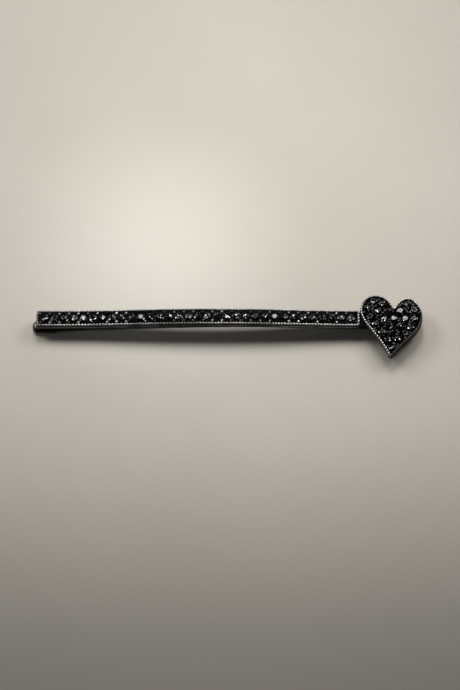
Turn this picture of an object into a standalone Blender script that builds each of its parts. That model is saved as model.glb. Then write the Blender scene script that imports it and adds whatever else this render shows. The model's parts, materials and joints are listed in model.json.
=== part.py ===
"""A decorated hair grip: a beaded bar with one row of stones and a paved heart, on a folded spring strip.

Metres, +Z up. The clip lies on a table at Z = 0, its bar runs along +X towards the heart, and the heart's
point is towards -Y. Places are worked out in the bar's own frame, whose X starts at the bar's left end and
whose Y is zero on the bar's centre line. One empty then carries the whole clip to its origin.
"""

import math
from bisect import bisect_right
from itertools import accumulate, combinations

import bmesh
import bpy
from mathutils import Matrix, Vector
from mathutils.geometry import delaunay_2d_cdt, interpolate_bezier

# Stones of the bar
BAR_STONE_COUNT = 33
BAR_STONE_DIAMETER = 0.00170
BAR_SEAT_WALL = 0.00016
TABLE_SHARE = 0.56
CROWN_SHARE = 0.15
GIRDLE_SHARE = 0.04
PAVILION_SHARE = 0.40
STONE_SIDES = 8

# Seats and prongs
SEAT_CLEARANCE = 0.00005
CULET_ROOM = 0.00006
SEAT_FLOOR_SHARE = 0.14
PRONG_WIDTH = 0.00040
PRONG_HEIGHT = 0.00026
PRONG_TOP_SHARE = 0.55
PRONG_WALL = 0.00006
PRONG_SIDES = 4

# Beaded edge and body of both settings
BEAD_PITCH = 0.00062
BEAD_WIDTH = 0.00045
BEAD_HEIGHT = 0.00028
BEAD_SADDLE_SHARE = 0.35
FACE_HEIGHT = 0.00172

# Bar
BAR_SIDE_MARGIN = 0.00035
BAR_END_MARGIN = 0.00180
BAR_INNER_CORNER = 0.00010
BOW_RISE = 0.00130
BOW_LEFT_FLAT = 0.00210
BOW_RIGHT_RUN = 0.00480

# Heart
HEART_LEFT_WIDTH = 0.00688
HEART_RIGHT_WIDTH = 0.00596
LOBE_RISE = 0.00265
HEART_DEPTH = 0.01040
HEART_INNER_TIP = 0.00012
HEART_TURN = math.radians(4.7)
NOTCH_OFFSET = 0.00202
DOME_RISE = 0.00050
DOME_RADIUS = 0.00850
DOME_CENTRE_SHARE = -0.25
HEART_SEAT_WALL = 0.00008
NEIGHBOUR_SHARE = 1.45

# Each half of the heart's outline as three curves from the notch down its flank. Straight runs then meet at
# the apex, which is rounded. Across, the numbers are shares of that half's width. Up and down, they are
# shares of the lobes' rise above the notch, or of the depth.
LEFT_OUTLINE_SHARES = (
    ((0, 0), (0.10, 0.49), (0.28, 1), (0.55, 1)),
    ((0.55, 1), (0.82, 1), (1, 0.42), (1, -0.05)),
    ((1, -0.05), (1, -0.33), (0.50, -0.525), (0.15, -0.875)),
)
RIGHT_OUTLINE_SHARES = (
    ((0, 0), (0.10, 0.47), (0.25, 0.98), (0.47, 0.98)),
    ((0.47, 0.98), (0.73, 0.98), (1, 0.17), (1, -0.115)),
    ((1, -0.115), (1, -0.44), (0.555, -0.60), (0.20, -0.875)),
)
APEX_SHARE = -1.03

# The heart's stones: a ring inside the edge, then the ones that it encloses, in the same shares.
LEFT_RING_SHARES = (
    (0.35, 0.30),
    (0.61, 0.45),
    (0.79, -0.035),
    (0.70, -0.21),
    (0.515, -0.355),
    (0.32, -0.495),
    (0.13, -0.65),
)
RIGHT_RING_SHARES = (
    (0.217, -0.65),
    (0.433, -0.505),
    (0.633, -0.355),
    (0.75, -0.183),
    (0.70, 0),
    (0.45, 0.41),
    (0.225, -0.043),
)
LEFT_INNER_SHARES = ((0.19, -0.082), (0.485, -0.087), (0.275, -0.255), (0.08, -0.395))
RIGHT_INNER_SHARES = ((0.017, -0.217), (0.417, -0.197), (0.242, -0.36))
POINT_STONE_PLACE_SHARES = (0.025, -0.82)

# Spring strip
ARM_WIDTH = 0.0020
ARM_THICKNESS = 0.0005
ARM_EDGE_RADIUS = 0.00012
ARM_INSET = 0.0010
CLOSED_GAP = 0.0001
FOLD_COVER = 0.0028
HINGE_BACK = 0.0023
HINGE_GAP = 0.00015
LEVEL_RUN = 0.0020
CLOSING_RUN = 0.0140
FLARE_RUN = 0.0080

# Dipped tip
COAT_THICKNESS = 0.00035
TIP_CLEARANCE = 0.0002
TIP_LENGTH = 0.0048
TIP_OVERHANG = 0.0009
TIP_OFFSET = 0.0008
TIP_NOSE = 0.0012
TIP_HEEL = 0.0004
TIP_EDGE_RADIUS = 0.00035
ARM_STOP = 0.0008

# Fits
PIECE_GAP = 0.0001
OVERRUN = 0.0010
PROBE = 0.0001
WELD = 1e-9

# How finely curves are drawn
OUTLINE_STEPS = 24
CORNER_STEPS = 8
ARM_STEPS = 34
FOLD_STEPS = 10
NOSE_STEPS = 4
HEEL_STEPS = 2
EDGE_STEPS = 2
SMOOTH_ANGLE = math.radians(35)

# Worked out from the sizes above
BAR_SEAT_RADIUS = BAR_STONE_DIAMETER / 2 + SEAT_CLEARANCE
BAR_STONE_PITCH = 2 * BAR_SEAT_RADIUS + BAR_SEAT_WALL
BAR_LENGTH = (BAR_STONE_COUNT - 1) * BAR_STONE_PITCH + 2 * BAR_END_MARGIN
BAR_WIDTH = 2 * (BAR_SEAT_RADIUS + BAR_SIDE_MARGIN + BEAD_WIDTH)
BAR_CORNER_RADIUS = BEAD_WIDTH + BAR_INNER_CORNER
HEART_TIP_RADIUS = BEAD_WIDTH + HEART_INNER_TIP
FOLD_GAP = 2 * COAT_THICKNESS + TIP_CLEARANCE
UPPER_ARM_LEVEL = ARM_THICKNESS + FOLD_GAP + ARM_THICKNESS / 2
LOWER_ARM_LEVEL = ARM_THICKNESS / 2
SETTING_LEVEL = UPPER_ARM_LEVEL + ARM_THICKNESS / 2 + PIECE_GAP
BOW_START = BOW_LEFT_FLAT
BOW_END = BAR_LENGTH + BOW_RIGHT_RUN
TIP_LEFT = -TIP_OVERHANG
TIP_RIGHT = TIP_LEFT + TIP_LENGTH
TIP_LEVEL = COAT_THICKNESS + ARM_THICKNESS / 2


def clear_scene():
    for obj in list(bpy.data.objects):
        bpy.data.objects.remove(obj, do_unlink=True)


def new_material(name, colour, roughness, metallic):
    made = bpy.data.materials.new(name)
    made.use_nodes = True
    shader = made.node_tree.nodes["Principled BSDF"]
    shader.inputs["Base Color"].default_value = (*colour, 1)
    shader.inputs["Roughness"].default_value = roughness
    shader.inputs["Metallic"].default_value = metallic
    return made


def new_empty(name, parent=None, place=(0, 0, 0)):
    made = bpy.data.objects.new(name, None)
    bpy.context.collection.objects.link(made)
    made.parent = parent
    made.location = place
    return made


def new_object(name, mesh, parent, frame=None):
    """An object of this mesh, placed by frame in its parent."""
    made = bpy.data.objects.new(name, mesh)
    bpy.context.collection.objects.link(made)
    made.parent = parent
    made.matrix_basis = frame if frame is not None else Matrix()
    return made


def mesh_from(bm, name, material):
    """Closes the work on a bmesh: its faces point outwards, and its round stretches are shaded smooth."""
    bmesh.ops.recalc_face_normals(bm, faces=bm.faces)
    mesh = bpy.data.meshes.new(name)
    bm.to_mesh(mesh)
    bm.free()
    mesh.materials.append(material)
    mesh.shade_smooth()
    mesh.set_sharp_from_angle(angle=SMOOTH_ANGLE)
    return mesh


def eased(share):
    """0 to 1 along a smooth step, level at both ends."""
    share = min(max(share, 0), 1)
    return share * share * (3 - 2 * share)


def bow(x):
    """How far the bowed bar and strip rise at this place: a raised cosine, level at both ends."""
    share = (x - BOW_START) / (BOW_END - BOW_START)
    if not 0 < share < 1:
        return 0
    return BOW_RISE * (1 - math.cos(2 * math.pi * share)) / 2


# Outlines, both counterclockwise


def bar_outline():
    """A rectangle with rounded corners, from the middle of its left end."""
    half = BAR_WIDTH / 2
    radius = BAR_CORNER_RADIUS
    corners = (
        (radius, radius - half, math.pi),
        (BAR_LENGTH - radius, radius - half, 3 * math.pi / 2),
        (BAR_LENGTH - radius, half - radius, 0),
        (radius, half - radius, math.pi / 2),
    )
    path = [Vector((0, 0))]
    for x, y, first in corners:
        for step in range(CORNER_STEPS + 1):
            angle = first + math.pi / 2 * step / CORNER_STEPS
            path.append(Vector((x + radius * math.cos(angle), y + radius * math.sin(angle))))
    return path


def heart_point(x_share, y_share, side):
    """A point in the heart's own frame, with the notch as origin. side is -1 on the left, 1 on the right."""
    width = HEART_LEFT_WIDTH if side < 0 else HEART_RIGHT_WIDTH
    height = LOBE_RISE if y_share > 0 else HEART_DEPTH
    return Vector((side * x_share * width, y_share * height))


def half_outline(shares, side):
    path = [heart_point(0, 0, side)]
    for curve in shares:
        first, out, back, last = (heart_point(*share, side) for share in curve)
        path += interpolate_bezier(first, out, back, last, OUTLINE_STEPS)[1:]
    return path


def rounded_corner(before, corner, after, radius):
    """The arc that rounds a corner between two straight runs, from the first run to the second."""
    back = (before - corner).normalized()
    ahead = (after - corner).normalized()
    half_angle = back.angle(ahead) / 2
    centre = corner + (back + ahead).normalized() * radius / math.sin(half_angle)
    first = corner + back * radius / math.tan(half_angle) - centre
    sweep_angle = math.pi - 2 * half_angle
    turns = [Matrix.Rotation(sweep_angle * step / CORNER_STEPS, 2) for step in range(CORNER_STEPS + 1)]
    return [centre + turn @ first for turn in turns]


def heart_outline():
    """From the notch over the left lobe to the point, and up over the right lobe."""
    left = half_outline(LEFT_OUTLINE_SHARES, -1)
    right = half_outline(RIGHT_OUTLINE_SHARES, 1)
    tip = rounded_corner(left[-1], heart_point(0, APEX_SHARE, 1), right[-1], HEART_TIP_RADIUS)
    return left + tip + right[:0:-1]


def heart_stone_places():
    """The places of the heart's full-size stones, in its own frame."""
    left = LEFT_RING_SHARES + LEFT_INNER_SHARES
    right = RIGHT_RING_SHARES + RIGHT_INNER_SHARES
    return [heart_point(*share, -1) for share in left] + [heart_point(*share, 1) for share in right]


def turned(path):
    """Heart-frame points as they lie once the heart is turned clockwise on the strip."""
    turn = Matrix.Rotation(-HEART_TURN, 2)
    return [turn @ point for point in path]


def moved(path, place):
    return [point + place for point in path]


def heart_notch_place():
    """Where the notch goes, so that the heart's left side meets the bar's right end."""
    leftmost = min(point.x for point in turned(heart_outline()))
    return Vector((BAR_LENGTH + PIECE_GAP - leftmost, NOTCH_OFFSET))


def even_stations(path):
    """Two stations for each bead along a closed path, low and high: (point, outward normal) pairs."""
    ends = path[1:] + path[:1]
    marks = [0, *accumulate((b - a).length for a, b in zip(path, ends))]
    count = 2 * round(marks[-1] / BEAD_PITCH)

    def point_at(distance):
        distance %= marks[-1]
        i = bisect_right(marks, distance) - 1
        return path[i].lerp(ends[i], (distance - marks[i]) / (marks[i + 1] - marks[i]))

    stations = []
    for number in range(count):
        distance = marks[-1] * number / count
        along = (point_at(distance + PROBE) - point_at(distance - PROBE)).normalized()
        stations.append((point_at(distance), Vector((along.y, -along.x))))
    return stations


# Settings


def loop_of(bm, points):
    return [bm.verts.new(point) for point in points]


def join_loops(bm, first, second):
    """A band of faces between two closed loops of as many points."""
    for i in range(len(first)):
        bm.faces.new((first[i - 1], first[i], second[i], second[i - 1]))


def fill(bm, border, holes=()):
    """Triangles between a border and the convex holes in it, as seen from above."""
    loops = [border, *holes]
    verts = [vert for loop in loops for vert in loop]
    owners = [number for number, loop in enumerate(loops) for _ in loop]
    edges = []
    for loop in loops:
        first = len(edges)
        edges += [(first + i, first + (i + 1) % len(loop)) for i in range(len(loop))]
    flat = [vert.co.xy for vert in verts]
    whole = [list(range(len(border)))]
    _, _, faces, sources, _, _ = delaunay_2d_cdt(flat, edges, whole, 1, WELD)
    for face in faces:
        corners = [sources[i][0] for i in face]
        around = {owners[corner] for corner in corners}
        in_a_hole = len(around) == 1 and 0 not in around
        if not in_a_hole:
            bm.faces.new([verts[corner] for corner in corners])


def seat_frame(place, height):
    """The frame of a seat or prong on a surface of this height, tilted as the surface is there."""
    x, y = place
    slope_x = (height(x + PROBE, y) - height(x - PROBE, y)) / (2 * PROBE)
    slope_y = (height(x, y + PROBE) - height(x, y - PROBE)) / (2 * PROBE)
    normal = Vector((-slope_x, -slope_y, 1)).normalized()
    tilt = Vector((0, 0, 1)).rotation_difference(normal).to_matrix().to_4x4()
    return Matrix.Translation((x, y, height(x, y))) @ tilt


def ring(bm, frame, radius, level, sides):
    angles = [2 * math.pi * i / sides for i in range(sides)]
    return loop_of(bm, [frame @ Vector((radius * math.cos(a), radius * math.sin(a), level)) for a in angles])


def cut_seat(bm, frame, radius):
    """A conical seat that follows the stone's underside. Returns its rim."""
    depth = 2 * (radius - SEAT_CLEARANCE) * PAVILION_SHARE + CULET_ROOM
    rim = ring(bm, frame, radius, 0, STONE_SIDES)
    floor = ring(bm, frame, radius * SEAT_FLOOR_SHARE, -depth, STONE_SIDES)
    join_loops(bm, floor, rim)
    bm.faces.new(floor)
    return rim


def raise_prong(bm, frame, radius):
    """A small bead of metal between the stones. Returns its foot."""
    foot = ring(bm, frame, radius, 0, PRONG_SIDES)
    top = ring(bm, frame, radius * PRONG_TOP_SHARE, PRONG_HEIGHT, PRONG_SIDES)
    join_loops(bm, foot, top)
    bm.faces.new(top)
    return foot


def build_setting(name, path, height, base_height, seats, prongs, material):
    """A solid setting: base, side wall, beaded edge, and a face with seats and prongs.

    height and base_height give the face's and the base's height at (x, y). seats and prongs are lists of
    (frame, radius) pairs.
    """
    bm = bmesh.new()
    stations = even_stations(path)
    base, edge, crest, foot = [], [], [], []
    for number, (point, normal) in enumerate(stations):
        rise = BEAD_HEIGHT * (1 if number % 2 else BEAD_SADDLE_SHARE)
        middle = point - normal * BEAD_WIDTH / 2
        inner = point - normal * BEAD_WIDTH
        base.append((*point, base_height(*point)))
        edge.append((*point, height(*point)))
        crest.append((*middle, height(*middle) + rise))
        foot.append((*inner, height(*inner)))
    loops = [loop_of(bm, points) for points in (base, edge, crest, foot)]
    for lower, upper in zip(loops, loops[1:]):
        join_loops(bm, lower, upper)
    rims = [cut_seat(bm, frame, radius) for frame, radius in seats]
    feet = [raise_prong(bm, frame, radius) for frame, radius in prongs]
    fill(bm, loops[-1], rims + feet)
    fill(bm, loops[0])
    return mesh_from(bm, name, material)


# Stones


def stone_mesh(name, diameter, material):
    """A round faceted stone, its girdle's lower edge at its origin."""
    radius = diameter / 2
    girdle = diameter * GIRDLE_SHARE
    bm = bmesh.new()
    frame = Matrix()
    half_step = Matrix.Rotation(math.pi / STONE_SIDES, 4, "Z")
    culet = bm.verts.new((0, 0, -diameter * PAVILION_SHARE))
    low = ring(bm, frame, radius, 0, STONE_SIDES)
    high = ring(bm, frame, radius, girdle, STONE_SIDES)
    table = ring(bm, half_step, radius * TABLE_SHARE, girdle + diameter * CROWN_SHARE, STONE_SIDES)
    join_loops(bm, low, high)
    bm.faces.new(table)
    for i in range(STONE_SIDES):
        bm.faces.new((low[i - 1], culet, low[i]))
        bm.faces.new((high[i - 1], high[i], table[i - 1]))
        bm.faces.new((high[i], table[i], table[i - 1]))
    return mesh_from(bm, name, material)


def bar_stone_x(number):
    return BAR_END_MARGIN + number * BAR_STONE_PITCH


def bar_height(x, y):
    return SETTING_LEVEL + FACE_HEIGHT + bow(x)


def build_bar(parent, plating, stone):
    """The bar's setting and its row of stones."""
    places = [(bar_stone_x(number), 0) for number in range(BAR_STONE_COUNT)]
    frames = [seat_frame(place, bar_height) for place in places]
    prong_reach = BAR_WIDTH / 2 - BEAD_WIDTH - PRONG_WIDTH / 2 - PRONG_WALL
    prongs = []
    for number in range(BAR_STONE_COUNT - 1):
        x = bar_stone_x(number) + BAR_STONE_PITCH / 2
        prongs += [(seat_frame((x, y), bar_height), PRONG_WIDTH / 2) for y in (-prong_reach, prong_reach)]
    seats = [(frame, BAR_SEAT_RADIUS) for frame in frames]
    mesh = build_setting(
        "bar_setting", bar_outline(), bar_height, lambda x, y: SETTING_LEVEL + bow(x), seats, prongs, plating
    )
    new_object("bar_setting", mesh, parent)
    shared = stone_mesh("bar_stone", BAR_STONE_DIAMETER, stone)
    for number, frame in enumerate(frames, 1):
        new_object(f"bar_stone_{number:02}", shared, parent, frame)


def distance_to(path, place):
    """How far a place is from a closed path."""
    found = []
    for a, b in zip(path, path[1:] + path[:1]):
        share = (place - a).dot(b - a) / (b - a).length_squared
        found.append((place - a.lerp(b, min(max(share, 0), 1))).length)
    return min(found)


def room_to_edge(place, path):
    """The radius that a seat at this place can have beside the beaded edge."""
    return distance_to(path, place) - BEAD_WIDTH - HEART_SEAT_WALL / 2


def heart_seat_radius(places, path):
    """The largest seat that leaves metal between neighbours, and between the ring and the beaded edge."""
    apart = min((a - b).length for a, b in combinations(places, 2))
    return min((apart - HEART_SEAT_WALL) / 2, *(room_to_edge(place, path) for place in places))


def point_seat_radius(place, places, radius, path):
    """The smaller seat near the heart's point, as large as its neighbours and the beaded edge leave it."""
    apart = min((place - other).length for other in places)
    return min(radius, apart - radius - HEART_SEAT_WALL, room_to_edge(place, path))


def meeting_point(a, b, c):
    """The point as far from each of three stones, or None where they lie in a row."""
    first, second = b - a, c - a
    twice_area = 2 * first.cross(second)
    if abs(twice_area) < PROBE * PROBE:
        return None
    lengths = first.length_squared, second.length_squared
    x = (second.y * lengths[0] - first.y * lengths[1]) / twice_area
    y = (first.x * lengths[1] - second.x * lengths[0]) / twice_area
    return a + Vector((x, y))


def heart_prongs(seats, path):
    """A prong wherever three stones leave room for one. It takes and gives (place, radius) pairs."""
    found = []
    reach = NEIGHBOUR_SHARE * 2 * max(radius for _, radius in seats)
    for trio in combinations([place for place, _ in seats], 3):
        if max((a - b).length for a, b in combinations(trio, 2)) > reach:
            continue
        middle = meeting_point(*trio)
        if middle is None:
            continue
        room = min((middle - place).length - radius for place, radius in seats) - PRONG_WALL
        border = distance_to(path, middle) - BEAD_WIDTH - PRONG_WALL
        radius = min(room, border, PRONG_WIDTH / 2)
        spacing = PRONG_WIDTH + PRONG_WALL
        alone = all((middle - other).length > spacing for other, _ in found)
        if radius > PRONG_WIDTH / 4 and alone:
            found.append((middle, radius))
    return found


def build_heart(parent, plating, stone):
    """The heart's setting and its stones."""
    notch = heart_notch_place()
    path = moved(turned(heart_outline()), notch)
    places = moved(turned(heart_stone_places()), notch)
    small_place = moved(turned([heart_point(*POINT_STONE_PLACE_SHARES, 1)]), notch)[0]
    centre = moved(turned([heart_point(0, DOME_CENTRE_SHARE, 1)]), notch)[0]
    base_level = SETTING_LEVEL + bow(BAR_LENGTH + PIECE_GAP)

    def height(x, y):
        from_centre = (Vector((x, y)) - centre).length / DOME_RADIUS
        return base_level + FACE_HEIGHT + DOME_RISE * max(0, 1 - from_centre * from_centre)

    radius = heart_seat_radius(places, path)
    small_radius = point_seat_radius(small_place, places, radius, path)
    diameter = 2 * (radius - SEAT_CLEARANCE)
    small_diameter = 2 * (small_radius - SEAT_CLEARANCE)
    frames = [seat_frame(place, height) for place in places]
    small_frame = seat_frame(small_place, height)
    seats = [(frame, radius) for frame in frames] + [(small_frame, small_radius)]
    taken = [(place, radius) for place in places] + [(small_place, small_radius)]
    prongs = [(seat_frame(place, height), size) for place, size in heart_prongs(taken, path)]
    mesh = build_setting("heart_setting", path, height, lambda x, y: base_level, seats, prongs, plating)
    new_object("heart_setting", mesh, parent)
    shared = stone_mesh("heart_stone", diameter, stone)
    for number, frame in enumerate(frames, 1):
        new_object(f"heart_stone_{number:02}", shared, parent, frame)
    small = stone_mesh("heart_point_stone", small_diameter, stone)
    new_object("heart_point_stone", small, parent, small_frame)
    print(f"heart stones {1000 * diameter:.3f} mm, prongs {len(prongs)}")


# Spring strip


def rounded_section(width, thickness, radius):
    """A flat strip's section, as (across, up) pairs, with rounded edges."""
    corners = (
        (width / 2 - radius, thickness / 2 - radius, 0),
        (radius - width / 2, thickness / 2 - radius, math.pi / 2),
        (radius - width / 2, radius - thickness / 2, math.pi),
        (width / 2 - radius, radius - thickness / 2, 3 * math.pi / 2),
    )
    section = []
    for across, up, first in corners:
        for step in range(EDGE_STEPS + 1):
            angle = first + math.pi / 2 * step / EDGE_STEPS
            section.append((across + radius * math.cos(angle), up + radius * math.sin(angle)))
    return section


def sweep(bm, line, section):
    """Sweeps a section along a line that bends up and down only."""
    loops = []
    for i, point in enumerate(line):
        along = line[min(i + 1, len(line) - 1)] - line[max(i - 1, 0)]
        up = Vector((-along.z, 0, along.x)).normalized()
        loops.append(loop_of(bm, [point + Vector((0, across, 0)) + up * rise for across, rise in section]))
    for first, second in zip(loops, loops[1:]):
        join_loops(bm, first, second)
    bm.faces.new(loops[0])
    bm.faces.new(loops[-1])


def fold_x():
    """The middle of the fold, set back under the heart's right side."""
    rightmost = max(point.x for point in moved(turned(heart_outline()), heart_notch_place()))
    return rightmost - FOLD_COVER - FOLD_GAP / 2 - ARM_THICKNESS


def hinge_place():
    """The point that the lower arm turns about: where it leaves the fold, halfway through the strip."""
    return Vector((fold_x() - HINGE_BACK, 0, LOWER_ARM_LEVEL))


def spread(first, last, steps):
    return [first + (last - first) * step / steps for step in range(steps + 1)]


def build_upper_arm(parent, steel):
    """The strip under the settings, and the fold down to the hinge."""
    middle = Vector((fold_x(), 0, (LOWER_ARM_LEVEL + UPPER_ARM_LEVEL) / 2))
    radius = (UPPER_ARM_LEVEL - LOWER_ARM_LEVEL) / 2
    line = [Vector((x, 0, UPPER_ARM_LEVEL + bow(x))) for x in spread(ARM_INSET, middle.x, ARM_STEPS)][:-1]
    for step in range(FOLD_STEPS + 1):
        angle = math.pi / 2 - math.pi * step / FOLD_STEPS
        line.append(middle + radius * Vector((math.cos(angle), 0, math.sin(angle))))
    line.append(hinge_place() + Vector((HINGE_GAP / 2, 0, 0)))
    bm = bmesh.new()
    sweep(bm, line, rounded_section(ARM_WIDTH, ARM_THICKNESS, ARM_EDGE_RADIUS))
    new_object("upper_arm_and_fold", mesh_from(bm, "upper_arm_and_fold", steel), parent)


def lower_arm_point(x):
    """The lower arm's middle line: level at the hinge, close under the upper arm, then down to the tip."""
    hinge = hinge_place()
    closing = eased((hinge.x - LEVEL_RUN - x) / CLOSING_RUN)
    flare = eased((TIP_RIGHT + FLARE_RUN - x) / FLARE_RUN)
    hugging = LOWER_ARM_LEVEL + bow(x) + (FOLD_GAP - CLOSED_GAP) * closing
    aside = TIP_OFFSET * (hinge.x - x) / (hinge.x - TIP_LEFT)
    return Vector((x, -aside, hugging + (TIP_LEVEL - hugging) * flare))


def build_lower_arm(parent, steel):
    hinge = hinge_place()
    stops = spread(hinge.x - HINGE_GAP / 2, TIP_RIGHT, ARM_STEPS) + [TIP_LEFT + ARM_STOP]
    bm = bmesh.new()
    line = [lower_arm_point(x) - hinge for x in stops]
    sweep(bm, line, rounded_section(ARM_WIDTH, ARM_THICKNESS, ARM_EDGE_RADIUS))
    new_object("lower_arm", mesh_from(bm, "lower_arm", steel), parent)


def pocket_cutter(parent, material):
    """What the tip's pocket leaves out: the arm's level end with its clearance, run out past the mouth."""
    hinge = hinge_place()
    width = ARM_WIDTH + 2 * SEAT_CLEARANCE
    thickness = ARM_THICKNESS + 2 * SEAT_CLEARANCE
    mouth = lower_arm_point(TIP_RIGHT) - hinge
    floor = lower_arm_point(TIP_LEFT + ARM_STOP - SEAT_CLEARANCE) - hinge
    outwards = (mouth - floor).normalized() * OVERRUN
    bm = bmesh.new()
    sweep(bm, [mouth + outwards, floor], rounded_section(width, thickness, ARM_EDGE_RADIUS + SEAT_CLEARANCE))
    cutter = new_object("tip_pocket_cutter", mesh_from(bm, "tip_pocket_cutter", material), parent)
    cutter.hide_render = True
    cutter.display_type = "WIRE"
    return cutter


def build_dipped_tip(parent, polymer):
    """The dipped end: a rounded block with a pocket that holds the lower arm's end."""
    hinge = hinge_place()
    width = ARM_WIDTH + 2 * COAT_THICKNESS
    thickness = ARM_THICKNESS + 2 * COAT_THICKNESS
    section = rounded_section(width, thickness, TIP_EDGE_RADIUS)
    rings = []
    for step in range(1, NOSE_STEPS + 1):
        angle = math.pi / 2 * step / NOSE_STEPS
        rings.append((TIP_LEFT + TIP_NOSE * (1 - math.cos(angle)), math.sin(angle)))
    for step in range(HEEL_STEPS + 1):
        angle = math.pi / 2 * step / HEEL_STEPS
        share = 1 - COAT_THICKNESS / thickness * (1 - math.cos(angle))
        rings.append((TIP_RIGHT - TIP_HEEL * (1 - math.sin(angle)), share))
    bm = bmesh.new()
    loops = []
    for x, share in rings:
        middle = lower_arm_point(x) - hinge
        points = [middle + Vector((0, across * share, up * share)) for across, up in section]
        loops.append(loop_of(bm, points))
    for first, second in zip(loops, loops[1:]):
        join_loops(bm, first, second)
    bm.faces.new(loops[0])
    bm.faces.new(loops[-1])
    tip = new_object("dipped_tip", mesh_from(bm, "dipped_tip", polymer), parent)

    cut = tip.modifiers.new("pocket", "BOOLEAN")
    cut.operation = "DIFFERENCE"
    cut.object = pocket_cutter(parent, polymer)


def centre_over_table(carrier):
    """Moves the carrier so that the clip's box is centred over the origin and stands on Z = 0."""
    bpy.context.view_layer.update()
    corners = []
    for obj in bpy.data.objects:
        if obj.type == "MESH" and not obj.hide_render:
            corners += [obj.matrix_world @ vert.co for vert in obj.data.vertices]
    low = Vector(min(corner[axis] for corner in corners) for axis in range(3))
    high = Vector(max(corner[axis] for corner in corners) for axis in range(3))
    carrier.location = (-(low.x + high.x) / 2, -(low.y + high.y) / 2, -low.z)


def report_places(hinge):
    """Prints the places that a drawing of the clip needs, in millimetres."""
    bpy.context.view_layer.update()
    place = [round(1000 * value, 4) for value in hinge.matrix_world.translation]
    print(f"hinge {place}, bar {1000 * BAR_LENGTH:.3f} by {1000 * BAR_WIDTH:.3f} mm")


def main():
    clear_scene()
    plating = new_material("gunmetal_plating", (0.075, 0.072, 0.078), 0.30, 1.0)
    steel = new_material("blackened_spring_steel", (0.11, 0.11, 0.115), 0.38, 1.0)
    polymer = new_material("dipped_polymer", (0.012, 0.012, 0.013), 0.14, 0.0)
    stone = new_material("black_crystal", (0.015, 0.016, 0.020), 0.05, 0.0)
    carrier = new_empty("clip_carrier")
    hinge = new_empty("arm_hinge", carrier, hinge_place())
    build_bar(carrier, plating, stone)
    build_heart(carrier, plating, stone)
    build_upper_arm(carrier, steel)
    build_lower_arm(hinge, steel)
    build_dipped_tip(hinge, polymer)
    centre_over_table(carrier)
    report_places(hinge)


main()
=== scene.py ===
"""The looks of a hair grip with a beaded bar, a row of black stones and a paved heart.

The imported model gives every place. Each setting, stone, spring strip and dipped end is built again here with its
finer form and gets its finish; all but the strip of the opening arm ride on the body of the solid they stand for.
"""

import json
import logging
import math
import random
from abc import ABC, abstractmethod
from collections.abc import Callable, Sequence
from dataclasses import dataclass, field
from enum import Enum
from operator import itemgetter

import bmesh
import bpy
import numpy as np
from mathutils import Matrix, Vector
from mathutils.geometry import delaunay_2d_cdt

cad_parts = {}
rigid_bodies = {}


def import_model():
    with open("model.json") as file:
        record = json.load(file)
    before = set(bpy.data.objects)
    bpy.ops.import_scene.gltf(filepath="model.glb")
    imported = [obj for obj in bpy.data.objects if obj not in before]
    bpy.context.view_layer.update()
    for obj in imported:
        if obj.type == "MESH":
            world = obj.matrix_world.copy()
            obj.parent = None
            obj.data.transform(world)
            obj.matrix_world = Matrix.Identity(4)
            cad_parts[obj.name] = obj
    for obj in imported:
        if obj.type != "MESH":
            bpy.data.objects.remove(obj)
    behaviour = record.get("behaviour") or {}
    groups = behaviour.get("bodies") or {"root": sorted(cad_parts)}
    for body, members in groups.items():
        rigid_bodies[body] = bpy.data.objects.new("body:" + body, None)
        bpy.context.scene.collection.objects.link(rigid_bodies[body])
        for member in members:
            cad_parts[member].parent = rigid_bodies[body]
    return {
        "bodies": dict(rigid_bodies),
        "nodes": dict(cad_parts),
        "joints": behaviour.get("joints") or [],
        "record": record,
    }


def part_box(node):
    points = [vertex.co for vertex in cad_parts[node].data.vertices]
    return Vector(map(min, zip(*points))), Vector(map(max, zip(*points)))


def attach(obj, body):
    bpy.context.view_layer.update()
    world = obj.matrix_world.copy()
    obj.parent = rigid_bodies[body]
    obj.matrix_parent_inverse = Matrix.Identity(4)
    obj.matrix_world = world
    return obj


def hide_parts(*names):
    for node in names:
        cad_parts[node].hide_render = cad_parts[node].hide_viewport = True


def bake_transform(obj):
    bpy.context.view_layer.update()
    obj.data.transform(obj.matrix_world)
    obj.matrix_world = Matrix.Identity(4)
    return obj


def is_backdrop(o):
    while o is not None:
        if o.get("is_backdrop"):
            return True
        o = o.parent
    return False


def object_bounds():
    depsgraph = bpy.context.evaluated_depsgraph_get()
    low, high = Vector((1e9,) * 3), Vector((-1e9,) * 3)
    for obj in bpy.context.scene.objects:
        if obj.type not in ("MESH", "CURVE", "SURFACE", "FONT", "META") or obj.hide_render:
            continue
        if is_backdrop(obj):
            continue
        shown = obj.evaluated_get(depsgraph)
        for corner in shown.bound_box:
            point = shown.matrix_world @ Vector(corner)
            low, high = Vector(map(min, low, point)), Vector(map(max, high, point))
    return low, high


LOG = logging.getLogger("hair_clip")
MM = 0.001
# The mesh attribute that says how proud of its surroundings each point stands
CREST = "crest"
# The digits after the point, in metres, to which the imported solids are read
DIGITS = 6
# How near two points of a filled face may be, in metres, before they count as one
SAME_POINT = 1e-9

Colour = tuple[float, float, float]
Place = tuple[float, float, float]
Band = tuple[float, float]
Loop = list[bmesh.types.BMVert]


class Body(Enum):
    """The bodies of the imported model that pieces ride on."""

    GRIP = "grip"
    OPENING_ARM = "opening_arm"


class Slot(Enum):
    """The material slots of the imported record."""

    PLATING = "gunmetal_plating"
    STEEL = "blackened_spring_steel"
    POLYMER = "dipped_polymer"
    CRYSTAL = "black_crystal"


# Shader nodes


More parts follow.
